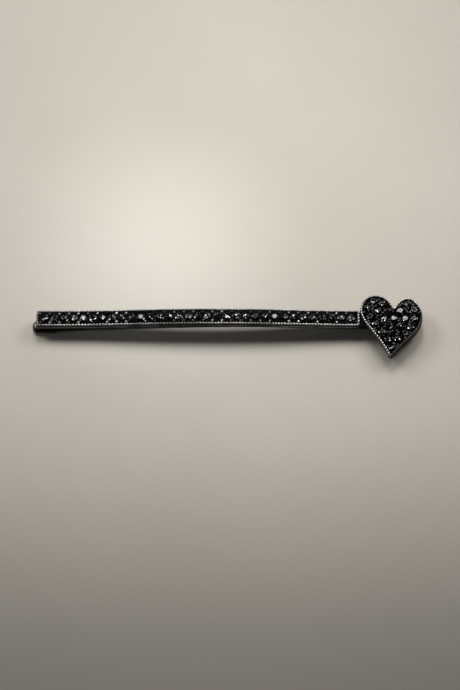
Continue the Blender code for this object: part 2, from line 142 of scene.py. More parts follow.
class Wire:
    """A node's output that can stand in a sum: each operator adds one Math node."""

    def __init__(self, graph: "Graph", socket: bpy.types.NodeSocket) -> None:
        """Keeps the socket and the graph that it belongs to."""
        self.graph = graph
        self.socket = socket

    def _sum(self, operation: str, first: "Value", second: "Value") -> "Wire":
        """Adds a Math node.

        Args:
            operation: The Math node's operation.
            first: Its first value.
            second: Its second value.

        Returns:
            The node's result.
        """
        return self.graph.node("ShaderNodeMath", {"operation": operation}, {0: first, 1: second})

    def __add__(self, other: "Value") -> "Wire":
        """self + other."""
        return self._sum("ADD", self, other)

    def __radd__(self, other: "Value") -> "Wire":
        """other + self."""
        return self._sum("ADD", other, self)

    def __sub__(self, other: "Value") -> "Wire":
        """self - other."""
        return self._sum("SUBTRACT", self, other)

    def __rsub__(self, other: "Value") -> "Wire":
        """other - self."""
        return self._sum("SUBTRACT", other, self)

    def __mul__(self, other: "Value") -> "Wire":
        """self * other."""
        return self._sum("MULTIPLY", self, other)

    def __rmul__(self, other: "Value") -> "Wire":
        """other * self."""
        return self._sum("MULTIPLY", other, self)

    def swing(self, share: float) -> "Wire":
        """How far self is over one half, times a share."""
        return (self - 0.5) * share

    def held(self) -> "Wire":
        """self, held between 0 and 1."""
        return self.graph.node("ShaderNodeClamp", inputs={"Value": self})


Value = Wire | float | tuple[float, ...]


@dataclass(frozen=True)
class Clouds:
    """Cloudy noise: how many clouds there are to a metre, how many finer layers, and how strong those are."""

    per_metre: float
    detail: float = 2.0
    harshness: float = 0.5


class Graph:
    """The nodes of one material, or of the room."""

    def __init__(self, tree: bpy.types.NodeTree) -> None:
        """Takes the node tree that it adds to."""
        self.tree = tree

    def own(self, kind: str) -> bpy.types.Node:
        """The tree's own node of this type, such as its output."""
        return next(node for node in self.tree.nodes if node.type == kind)

    def feed(self, socket: bpy.types.NodeSocket, value: Value) -> None:
        """Gives a socket its value or link.

        Args:
            socket: The socket to feed.
            value: A wire, a number, or the numbers of a vector or colour.
        """
        if isinstance(value, Wire):
            self.tree.links.new(value.socket, socket)
        elif isinstance(value, tuple) and socket.type == "RGBA":
            socket.default_value = (*value, 1.0)
        else:
            socket.default_value = value

    def node(
        self,
        kind: str,
        settings: dict[str, str] | None = None,
        inputs: dict[str | int, Value] | None = None,
        output: str | int = 0,
    ) -> Wire:
        """Adds a node.

        Args:
            kind: The node's type.
            settings: Its properties, which are set first.
            inputs: The values or links of its sockets.
            output: Which of its outputs to return.

        Returns:
            That output.
        """
        made = self.tree.nodes.new(kind)
        for name, value in (settings or {}).items():
            setattr(made, name, value)
        for key, value in (inputs or {}).items():
            self.feed(made.inputs[key], value)
        return Wire(self, made.outputs[output])

    def place(self, stretch: Place = (1.0, 1.0, 1.0)) -> Wire:
        """The place on the piece in metres, stretched along each axis."""
        coordinates = self.node("ShaderNodeTexCoord", output="Object")
        return self.node("ShaderNodeMapping", inputs={"Vector": coordinates, "Scale": stretch})

    def crest(self) -> Wire:
        """How proud the surface stands, as its mesh says."""
        return self.node("ShaderNodeAttribute", {"attribute_name": CREST}, output="Fac")

    def noise(self, place: Wire, clouds: Clouds) -> Wire:
        """Cloudy noise from 0 to 1.

        Args:
            place: Where it is read.
            clouds: Its scale and layers.

        Returns:
            The noise's value.
        """
        layers = {"Detail": clouds.detail, "Roughness": clouds.harshness}
        return self.node("ShaderNodeTexNoise", inputs={"Vector": place, "Scale": clouds.per_metre, **layers})

    def blend(self, share: Value, first: Value, second: Value) -> Wire:
        """A colour between two, by share."""
        return self.node("ShaderNodeMix", {"data_type": "RGBA"}, {0: share, 6: first, 7: second}, 2)

    def vector(self, operation: str, first: Value, second: Value) -> Wire:
        """A Vector Math node on two vectors."""
        return self.node("ShaderNodeVectorMath", {"operation": operation}, {0: first, 1: second})

    def length(self, vector: Wire) -> Wire:
        """How long a vector is."""
        return self.node("ShaderNodeVectorMath", {"operation": "LENGTH"}, {0: vector}, "Value")

    def along(self, vector: Wire, axis: str) -> Wire:
        """How far a vector runs along an axis."""
        return self.node("ShaderNodeSeparateXYZ", inputs={0: vector}, output=axis)

    def between(self, value: Wire, band: Band) -> Wire:
        """0 below the band, 1 above it, and a smooth step within it."""
        settings = {"interpolation_type": "SMOOTHSTEP"}
        return self.node("ShaderNodeMapRange", settings, {"Value": value, "From Min": band[0], "From Max": band[1]})

    def relief(self, height: Wire, depth: float, strength: float) -> Wire:
        """A bumped normal.

        Args:
            height: The relief, from 0 to 1.
            depth: How deep it is, in metres.
            strength: How much of it shows.

        Returns:
            The normal.
        """
        return self.node("ShaderNodeBump", inputs={"Height": height, "Distance": depth, "Strength": strength})


class MaterialGraph(Graph):
    """The nodes of a new material."""

    def __init__(self, name: str) -> None:
        """Makes a material with its Principled shader.

        Args:
            name: The material's name.
        """
        self.material = bpy.data.materials.new(name)
        self.material.use_nodes = True
        super().__init__(self.material.node_tree)
        self.shader = self.own("BSDF_PRINCIPLED")

    def set_shader(self, **values: Value) -> bpy.types.Material:
        """Feeds the shader's sockets.

        Args:
            **values: The value or link of each socket, named with _ for each space.

        Returns:
            The material.
        """
        for name, value in values.items():
            self.feed(self.shader.inputs[name.replace("_", " ")], value)
        return self.material


# Finishes


@dataclass(frozen=True)
class Finish(ABC):
    """A finish of the clip, for the record's slot that it belongs to."""

    slot: Slot

    @abstractmethod
    def material(self) -> bpy.types.Material:
        """Builds the finish's material."""


@dataclass(frozen=True)
class GunmetalPlating(Finish):
    """Dark bright plating on a casting: polished by the rubbing of fingers, dull and with painted shade in its
    recesses.
    """

    slot: Slot = Slot.PLATING
    rubbed: Colour = (0.93, 0.92, 0.90)
    cool: Colour = (0.74, 0.74, 0.75)
    # Painted shade: the near-black colour that the plating takes where the crest is low
    recess_shade: Colour = (0.0030, 0.0028, 0.0028)
    clouds: Clouds = Clouds(420, 3.0)
    cloud_band: Band = (0.35, 0.65)
    grain: Clouds = Clouds(5200, 4.0, 0.6)
    scratches: Clouds = Clouds(1500, 3.0, 0.7)
    scratch_stretch: Place = (1.0, 14.0, 3.0)
    patches: Clouds = Clouds(85, 2.0, 0.6)
    patch_band: Band = (0.38, 0.58)
    least_wear: float = 0.45
    flecks: Clouds = Clouds(4600, 1.0)
    fleck_band: Band = (0.63, 0.75)
    fleck_rub: float = 0.17
    fleck_rub_on_crests: float = 0.50
    crest_rub_and_shade: float = 1.25
    rub_and_shade_start: float = 0.12
    grain_rub: float = 0.40
    dullness: float = 0.38
    polish: float = 0.22
    cloud_dulling: float = 0.14
    scratch_dulling: float = 0.08
    grain_relief: float = 0.7
    scratch_relief: float = 0.3
    relief_depth: float = 0.010 * MM
    relief_share: float = 0.45

    def material(self) -> bpy.types.Material:
        """Builds the plating, with its tones, polish, painted shade in its recesses, casting grain and fine
        scratches.

        Returns:
            Its material.
        """
        graph = MaterialGraph("gunmetal_plating_finish")
        place = graph.place()
        clouds = graph.noise(place, self.clouds)
        grain = graph.noise(place, self.grain)
        scratches = graph.noise(graph.place(self.scratch_stretch), self.scratches)
        patches = graph.between(graph.noise(place, self.patches), self.patch_band)
        wear_and_painted_light = patches * (1 - self.least_wear) + self.least_wear
        crest = graph.crest()
        flecks = graph.between(graph.noise(place, self.flecks), self.fleck_band)
        fleck_rub = flecks * (crest * self.fleck_rub_on_crests + self.fleck_rub)
        # The mask: rubbed polish on the crests, and painted shade where the crest is low
        rub_and_shade = (crest * wear_and_painted_light * self.crest_rub_and_shade - self.rub_and_shade_start + grain.swing(self.grain_rub) + fleck_rub).held()
        metal = graph.blend(graph.between(clouds, self.cloud_band), self.cool, self.rubbed)
        dull = self.dullness - rub_and_shade * self.polish + clouds.swing(self.cloud_dulling)
        relief = grain * self.grain_relief + scratches * self.scratch_relief
        return graph.set_shader(
            Base_Color=graph.blend(rub_and_shade, self.recess_shade, metal),
            Metallic=1.0,
            Roughness=(dull + scratches.swing(self.scratch_dulling)).held(),
            Normal=graph.relief(relief, self.relief_depth, self.relief_share),
        )


@dataclass(frozen=True)
class BlackenedSteel(Finish):
    """Blackened spring steel, drawn lengthwise, with the oxide thinner along the edges."""

    slot: Slot = Slot.STEEL
    oxide: Colour = (0.055, 0.056, 0.062)
    bare: Colour = (0.25, 0.245, 0.24)
    streaks: Clouds = Clouds(9000, 3.0, 0.65)
    streak_stretch: Place = (0.03, 1.0, 1.0)
    clouds: Clouds = Clouds(260, 3.0)
    edge_wear: float = 0.75
    streak_wear: float = 0.7
    cloud_wear: float = 0.5
    wear_start: float = 0.12
    dullness: float = 0.42
    polish: float = 0.12
    cloud_dulling: float = 0.14
    relief_depth: float = 0.008 * MM
    relief_share: float = 0.5

    def material(self) -> bpy.types.Material:
        """Builds the oxide, with its drawn streaks and worn edges.

        Returns:
            Its material.
        """
        graph = MaterialGraph("blackened_steel_finish")
        streaks = graph.noise(graph.place(self.streak_stretch), self.streaks)
        clouds = graph.noise(graph.place(), self.clouds)
        uneven = graph.crest() * self.edge_wear + streaks.swing(self.streak_wear) + clouds.swing(self.cloud_wear)
        worn = (uneven - self.wear_start).held()
        return graph.set_shader(
            Base_Color=graph.blend(worn, self.oxide, self.bare),
            Metallic=1.0,
            Roughness=(self.dullness - worn * self.polish + clouds.swing(self.cloud_dulling)).held(),
            Normal=graph.relief(streaks, self.relief_depth, self.relief_share),
        )


@dataclass(frozen=True)
class DippedPolymer(Finish):
    """Glossy black dip, gently uneven as it set, with faint handling marks."""

    slot: Slot = Slot.POLYMER
    black: Colour = (0.010, 0.010, 0.011)
    dust: Colour = (0.050, 0.048, 0.045)
    waves: Clouds = Clouds(900, 1.0)
    marks: Clouds = Clouds(2600, 4.0, 0.7)
    mark_band: Band = (0.5, 0.75)
    specks: Clouds = Clouds(14000, 1.0)
    speck_band: Band = (0.70, 0.80)
    speck_share: float = 0.5
    gloss: float = 0.09
    mark_dulling: float = 0.14
    speck_dulling: float = 0.3
    relief_depth: float = 0.06 * MM
    relief_share: float = 0.35
    bending_of_light: float = 1.50

    def material(self) -> bpy.types.Material:
        """Builds the dip, with its soft waves, dust and duller handled patches.

        Returns:
            Its material.
        """
        graph = MaterialGraph("dipped_polymer_finish")
        place = graph.place()
        waves = graph.noise(place, self.waves)
        marks = graph.between(graph.noise(place, self.marks), self.mark_band)
        specks = graph.between(graph.noise(place, self.specks), self.speck_band)
        return graph.set_shader(
            Base_Color=graph.blend(specks * self.speck_share, self.black, self.dust),
            Roughness=(self.gloss + marks * self.mark_dulling + specks * self.speck_dulling).held(),
            Normal=graph.relief(waves, self.relief_depth, self.relief_share),
            IOR=self.bending_of_light,
        )


@dataclass(frozen=True)
class BlackCrystal(Finish):
    """Near-black foiled crystal: a clean polished surface over the broken glints of the facets below it."""

    slot: Slot = Slot.CRYSTAL
    depth: Colour = (0.002, 0.002, 0.003)
    green: Colour = (0.033, 0.045, 0.036)
    violet: Colour = (0.044, 0.038, 0.049)
    silver: Colour = (0.48, 0.48, 0.49)
    cells_per_metre: float = 5800
    cell_tilt: float = 0.46
    tint_band: Band = (0.3, 0.7)
    silver_band: Band = (0.55, 0.95)
    bright_band: Band = (0.52, 0.74)
    smudges: Clouds = Clouds(700)
    gloss: float = 0.06
    smudge_dulling: float = 0.08
    coat_gloss: float = 0.04
    coat_bending_of_light: float = 1.40

    def material(self) -> bpy.types.Material:
        """Builds the crystal: tilted inner cells, few of them bright, under a smooth coat.

        Returns:
            Its material.
        """
        graph = MaterialGraph("black_crystal_finish")
        place = graph.place()
        spread = {"Vector": place, "Scale": self.cells_per_metre}
        cells = graph.node("ShaderNodeTexVoronoi", inputs=spread, output="Color")
        draws = [graph.node("ShaderNodeSeparateColor", inputs={0: cells}, output=number) for number in range(3)]
        tint = graph.blend(graph.between(draws[0], self.tint_band), self.green, self.violet)
        glint = graph.blend(graph.between(draws[1], self.silver_band), tint, self.silver)
        bright = graph.between(draws[2], self.bright_band)
        smudges = graph.noise(place, self.smudges)
        centred = graph.vector("SUBTRACT", cells, (0.5, 0.5, 0.5))
        tilt = graph.vector("MULTIPLY", centred, (2 * self.cell_tilt,) * 3)
        surface = graph.node("ShaderNodeNewGeometry", output="Normal")
        return graph.set_shader(
            Base_Color=graph.blend(bright, self.depth, glint),
            Metallic=1.0,
            Roughness=(self.gloss + smudges * self.smudge_dulling).held(),
            Normal=graph.vector("NORMALIZE", graph.vector("ADD", surface, tilt), (0.0, 0.0, 0.0)),
            Coat_Weight=1.0,
            Coat_Roughness=self.coat_gloss,
            Coat_IOR=self.coat_bending_of_light,
        )


@dataclass(frozen=True)
class Solder(Finish):
    """Dull grey solder that has flowed between the strip and the settings."""

    slot: Slot = Slot.STEEL
    grey: Colour = (0.30, 0.295, 0.285)
    dark: Colour = (0.10, 0.10, 0.10)
    skin: Clouds = Clouds(2400, 4.0, 0.6)
    skin_band: Band = (0.35, 0.7)
    dullness: float = 0.42
    skin_dulling: float = 0.2
    relief_depth: float = 0.03 * MM
    relief_share: float = 0.6

    def material(self) -> bpy.types.Material:
        """Builds the solder, with its uneven skin.

        Returns:
            Its material.
        """
        graph = MaterialGraph("solder_finish")
        skin = graph.noise(graph.place(), self.skin)
        return graph.set_shader(
            Base_Color=graph.blend(graph.between(skin, self.skin_band), self.dark, self.grey),
            Metallic=1.0,
            Roughness=(self.dullness + skin * self.skin_dulling).held(),
            Normal=graph.relief(skin, self.relief_depth, self.relief_share),
        )


@dataclass(frozen=True)
class TableTop:
    """The pale warm surface that the clip lies on, with a painted pool of light behind the clip and painted shade in
    front of it.
    """

    pale: Colour = (0.705, 0.670, 0.596)
    shade: Colour = (0.660, 0.626, 0.555)
    light_pool: Colour = (0.90, 0.862, 0.778)
    front_shade: Colour = (0.36, 0.338, 0.298)
    far: Colour = (0.56, 0.53, 0.46)
    patches: Clouds = Clouds(24, 3.0)
    patch_share: float = 0.75
    specks: Clouds = Clouds(1700)
    mottle_band: Band = (0.3, 0.7)
    light_pool_middle: Place = (-0.014, 0.018, 0.0)
    light_pool_band: Band = (0.0, 0.036)
    front_shade_band: Band = (-0.080, -0.006)
    far_band: Band = (0.10, 0.21)
    dullness: float = 0.62
    shine: float = 0.25
    tooth: Clouds = Clouds(3200, 3.0)
    tooth_depth: float = 0.02 * MM
    tooth_share: float = 0.4

    def material(self) -> bpy.types.Material:
        """Builds the surface, faintly mottled. Far from the clip it shows its own tone to the camera.

        Returns:
            Its material.
        """
        graph = MaterialGraph("table_top_finish")
        place = graph.place()
        patches = graph.noise(place, self.patches) * self.patch_share
        mottle = patches + graph.noise(place, self.specks) * (1 - self.patch_share)
        tone = graph.blend(graph.between(mottle, self.mottle_band), self.shade, self.pale)
        # Painted pool of light: the table is paler near a point behind the clip
        aside = graph.length(graph.vector("SUBTRACT", place, self.light_pool_middle))
        lit = graph.blend(graph.between(aside, self.light_pool_band), self.light_pool, tone)
        # Painted shade: the table turns darker towards the front, away from the clip
        behind = graph.between(graph.along(place, "Y"), self.front_shade_band)
        rays = ("Is Camera Ray", "Is Glossy Ray", "Is Transmission Ray")
        seen, mirrored, seen_through = (graph.node("ShaderNodeLightPath", output=ray) for ray in rays)
        distant = graph.between(graph.length(place), self.far_band) * (seen + mirrored + seen_through).held()
        material = graph.set_shader(
            Base_Color=graph.blend(behind, self.front_shade, lit),
            Roughness=self.dullness,
            Normal=graph.relief(graph.noise(place, self.tooth), self.tooth_depth, self.tooth_share),
            Specular_IOR_Level=self.shine,
        )
        glow = graph.node("ShaderNodeEmission", inputs={"Color": self.far, "Strength": 1.0})
        surface = Wire(graph, graph.shader.outputs["BSDF"])
        mixed = graph.node("ShaderNodeMixShader", inputs={0: distant, 1: surface, 2: glow})
        graph.feed(graph.own("OUTPUT_MATERIAL").inputs["Surface"], mixed)
        return material


# Mesh work


@dataclass
class MeshWork:
    """A mesh in the making. Every point has a crest value: 1 where the surface stands proud, 0 where it lies low."""

    name: str
    mesh: bmesh.types.BMesh = field(default_factory=bmesh.new)

    def __post_init__(self) -> None:
        """Adds the crest layer."""
        self.crest = self.mesh.verts.layers.float.new(CREST)

    def loop(self, points: Sequence[Vector], crest: float | Sequence[float] = 0.0) -> Loop:
        """Adds the points of one loop.

        Args:
            points: The loop's points.
            crest: One crest value for all, or one for each.

        Returns:
            Its vertices.
        """
        made = [self.mesh.verts.new(point) for point in points]
        values = [crest] * len(made) if isinstance(crest, float) else crest
        for vert, value in zip(made, values):
            vert[self.crest] = value
        return made

    def band(self, first: Loop, second: Loop) -> None:
        """Joins two closed loops of as many points."""
        for i in range(len(first)):
            self.mesh.faces.new((first[i - 1], first[i], second[i], second[i - 1]))

    def bands(self, loops: Sequence[Loop]) -> None:
        """Joins each loop to the next."""
        for first, second in zip(loops, loops[1:]):
            self.band(first, second)

    def cap(self, loop: Loop, tip: Vector | None = None, crest: float = 0.0) -> None:
        """Closes a loop with one face, or with a fan to a tip.

        Args:
            loop: The loop to close.
            tip: The fan's middle.
            crest: The tip's crest value.
        """
        if tip is None:
            self.mesh.faces.new(loop)
            return
        (middle,) = self.loop([tip], crest)
        for i in range(len(loop)):
            self.mesh.faces.new((loop[i - 1], loop[i], middle))

    def tube(self, loops: Sequence[Loop], tip: Vector | None = None, crest: float = 0.0) -> None:
        """Joins each loop to the next and closes both ends.

        Args:
            loops: The loops, of as many points each.
            tip: The middle of the fan that closes the last loop. Without it, that loop gets one face too.
            crest: The tip's crest value.
        """
        self.bands(loops)
        self.cap(loops[0])
        self.cap(loops[-1], tip, crest)

    def fill(self, border: Loop, holes: Sequence[Loop] = ()) -> None:
        """Fills between a border and the round holes in it, as seen from above.

        Args:
            border: The outer loop.
            holes: The loops that stay open.
        """
        loops = [border, *holes]
        verts = [vert for loop in loops for vert in loop]
        owners = [number for number, loop in enumerate(loops) for _ in loop]
        edges: list[tuple[int, int]] = []
        for loop in loops:
            start = len(edges)
            edges += [(start + i, start + (i + 1) % len(loop)) for i in range(len(loop))]
        whole = [list(range(len(border)))]
        flat = [vert.co.xy for vert in verts]
        _, _, faces, sources, _, _ = delaunay_2d_cdt(flat, edges, whole, 1, SAME_POINT)
        for face in faces:
            corners = [sources[i][0] for i in face]
            around = {owners[corner] for corner in corners}
            if len(around) > 1 or 0 in around:
                self.mesh.faces.new([verts[corner] for corner in corners])

    def to_mesh(self, finish: Finish) -> bpy.types.Mesh:
        """Ends the work.

        Args:
            finish: The finish that dresses it.

        Returns:
            Its mesh.
        """
        bmesh.ops.recalc_face_normals(self.mesh, faces=self.mesh.faces)
        mesh = bpy.data.meshes.new(self.name)
        self.mesh.to_mesh(mesh)
        self.mesh.free()
        mesh.materials.append(Dresser.material_of(finish))
        return mesh

    def done(self, finish: Finish, sharp_from: float = 40.0) -> bpy.types.Object:
        """Ends the work and makes its object, smooth but for its sharp edges.

        Args:
            finish: The finish that dresses it.
            sharp_from: The angle between faces, in degrees, from which an edge shows.

        Returns:
            The object, not yet riding on a body.
        """
        mesh = self.to_mesh(finish)
        mesh.shade_smooth()
        mesh.set_sharp_from_angle(angle=math.radians(sharp_from))
        made = put_in_scene(self.name, mesh)
        return made


class Dresser:
    """Keeps one material for each finish."""

    _made: dict[str, bpy.types.Material] = {}

    @classmethod
    def material_of(cls, finish: Finish) -> bpy.types.Material:
        """Looks up a finish's material, and builds it the first time that it is asked for.

        Args:
            finish: The finish.

        Returns:
            Its material.
        """
        key = repr(finish)
        if key not in cls._made:
            cls._made[key] = finish.material()
        return cls._made[key]


def put_in_scene(name: str, data: bpy.types.ID) -> bpy.types.Object:
    """Makes an object and links it to the scene.

    Args:
        name: The object's name.
        data: Its mesh, light or camera.

    Returns:
        The object.
    """
    made = bpy.data.objects.new(name, data)
    bpy.context.scene.collection.objects.link(made)
    return made


def ring_points(
    radius: float, level: float, count: int, start: float = 0.0, middle: tuple[float, float] = (0.0, 0.0)
) -> list[Vector]:
    """The points of a level ring.

    Args:
        radius: The ring's radius.
        level: How high it lies.
        count: How many points it has.
        start: The angle of the first one.
        middle: The ring's middle along X and Y.

    Returns:
        The points, counterclockwise.
    """
    angles = [start + 2 * math.pi * i / count for i in range(count)]
    x, y = middle
    return [Vector((x + radius * math.cos(a), y + radius * math.sin(a), level)) for a in angles]


def node_points(node: bpy.types.Object) -> np.ndarray:
    """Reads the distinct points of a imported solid.

    Args:
        node: The solid.

    Returns:
        The points in metres, one row each.
    """
    points = np.empty(len(node.data.vertices) * 3, np.float32)
    node.data.vertices.foreach_get("co", points)
    return np.unique(np.round(points.reshape(-1, 3).astype(float), DIGITS), axis=0)


def curve_through(points: np.ndarray, steps: int, closed: bool) -> np.ndarray:
    """A smooth curve through rows of numbers.

    Args:
        points: The rows that it passes through.
        steps: How many steps it takes from each row to the next.
        closed: Whether it runs on from the last row to the first.

    Returns:
        The curve's rows. An open curve ends with the last row given.
    """
    count = len(points)
    if closed:
        before, after = np.roll(points, 1, 0), np.roll(points, -1, 0)
        later = np.roll(points, -2, 0)
    else:
        before = np.vstack([2 * points[0] - points[1], points[:-1]])
        after = np.vstack([points[1:], points[-1]])
        later = np.vstack([points[2:], 2 * points[-1] - points[-2], points[-1]])
    rows = []
    for number in range(count if closed else count - 1):
        a, b, c, d = before[number], points[number], after[number], later[number]
        for step in range(steps):
            t = step / steps
            rows.append(
                0.5 * (2 * b + (c - a) * t + (2 * a - 5 * b + 4 * c - d) * t**2 + (3 * b - a - 3 * c + d) * t**3)
            )
    if not closed:
        rows.append(points[-1])
    return np.array(rows)


def walk_round(beside: dict[Place, set[Place]]) -> np.ndarray:
    """The points of an outline in counterclockwise order.

    Args:
        beside: The two neighbours of each point.

    Returns:
        The points, one row each.
    """
    order = [min(beside)]
    ahead = beside[order[0]] - {order[0]}
    while ahead:
        order.append(min(ahead))
        ahead = beside[order[-1]] - set(order)
    path = np.array(order)
    x, y = path[:, 0], path[:, 1]
    area = np.sum(x * np.roll(y, -1) - np.roll(x, -1) * y)
    return path if area > 0 else path[::-1]


# Stones


@dataclass(frozen=True)
class StonePlace:
    """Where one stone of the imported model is: the middle of its girdle's lower edge, its axis and its diameter."""

    node: str
    middle: Vector
    axis: Vector
    diameter: float

    @classmethod
    def read(cls, node: str, solid: bpy.types.Object, pavilion_share: float) -> "StonePlace":
        """Reads a stone's place from its solid.

        Args:
            node: The solid's name.
            solid: The solid.
            pavilion_share: How deep it is below the girdle, as a share of its diameter.

        Returns:
            Its place.
        """
        points = node_points(solid)
        spread = points - points.mean(0)
        axis = np.linalg.eigh(spread.T @ spread)[1][:, 0]
        axis = axis * np.sign(axis[2])
        culet = points[np.argmin(points @ axis)]
        along = (points - culet) @ axis
        diameter = 2 * np.linalg.norm(points - culet - np.outer(along, axis), axis=1).max()
        return cls(node, Vector(culet + axis * pavilion_share * diameter), Vector(axis), float(diameter))

    def frame(self) -> Matrix:
        """The frame whose origin is the stone's middle and whose Z is its axis."""
        turn = Vector((0, 0, 1)).rotation_difference(self.axis).to_matrix().to_4x4()
        return Matrix.Translation(self.middle) @ turn


@dataclass
class StoneCut:
    """The cut of the stones: a table, star, kite and girdle facets above, and mains and halves below."""

    table_share: float = 0.56
    star_share: float = 0.77
    crown_share: float = 0.15
    girdle_share: float = 0.035
    pavilion_share: float = 0.40
    lower_half_share: float = 0.42
    lower_half_depth_share: float = 0.62
    mains: int = 8

    def mesh(self, name: str, diameter: float, finish: Finish) -> bpy.types.Mesh:
        """Builds one stone with its girdle's lower edge at the origin.

        Args:
            name: The mesh's name.
            diameter: The stone's diameter.
            finish: The finish that dresses it.

        Returns:
            The mesh.
        """
        work = MeshWork(name)
        radius = diameter / 2
        crown = diameter * self.crown_share
        rim = diameter * self.girdle_share
        step = 2 * math.pi / self.mains
        reach = (1 - self.star_share * math.cos(step / 2)) / (1 - self.table_share)
        pavilion = diameter * self.pavilion_share
        table = work.loop(ring_points(radius * self.table_share, rim + crown, self.mains))
        star = work.loop(ring_points(radius * self.star_share, rim + crown * reach, self.mains, step / 2))
        high = work.loop(ring_points(radius, rim, 2 * self.mains))
        low = work.loop(ring_points(radius, 0.0, 2 * self.mains))
        waist = -pavilion * self.lower_half_depth_share
        halves = work.loop(ring_points(radius * self.lower_half_share, waist, self.mains, step / 2))
        (culet,) = work.loop([Vector((0, 0, -pavilion))])
        new = work.mesh.faces.new
        work.cap(table)
        work.band(low, high)
        for i in range(self.mains):
            ahead = (i + 1) % self.mains
            new((table[i], table[ahead], star[i]))
            new((table[i], star[i], high[2 * i], star[i - 1]))
            new((star[i], high[2 * i + 1], high[2 * i]))
            new((star[i], high[2 * ahead], high[2 * i + 1]))
            new((low[2 * i], low[2 * i + 1], halves[i]))
            new((low[2 * i + 1], low[2 * ahead], halves[i]))
            new((low[2 * i], halves[i], culet, halves[i - 1]))
        mesh = work.to_mesh(finish)
        mesh.shade_flat()
        return mesh


@dataclass
class StoneSet:
    """The stones of one setting, each set by hand and so never quite level.

    The tilts and the lean are in degrees. A tilt is to the back and to the right, and they lean to the back.
    """

    places: list[StonePlace]
    finish: BlackCrystal
    seed: int
    lit_tilts: dict[str, tuple[float, float]]
    usual_tilt: float = 1.4
    lean: float = -1.5
    lift: float = 0.03 * MM

    def build(self, cut: StoneCut) -> list[bpy.types.Object]:
        """Builds every stone and lets it ride on the grip.

        Args:
            cut: How the stones are cut.

        Returns:
            The stones.
        """
        chance = random.Random(self.seed)
        made = []
        for place in self.places:
            usual = chance.gauss(self.lean, self.usual_tilt), chance.gauss(0, self.usual_tilt)
            back, aside = self.lit_tilts.get(place.node, usual)
            roll = chance.uniform(0, 2 * math.pi)
            mesh = cut.mesh(f"{place.node}_cut", place.diameter, self.finish)
            mesh.transform(
                Matrix.Translation((0, 0, self.lift))
                @ place.frame()
                @ Matrix.Rotation(math.radians(aside), 4, "Y")
                @ Matrix.Rotation(math.radians(-back), 4, "X")
                @ Matrix.Rotation(roll, 4, "Z")
            )
            stone = put_in_scene(mesh.name, mesh)
            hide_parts(place.node)
            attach(stone, Body.GRIP.value)
            made.append(stone)
        return made


# Settings


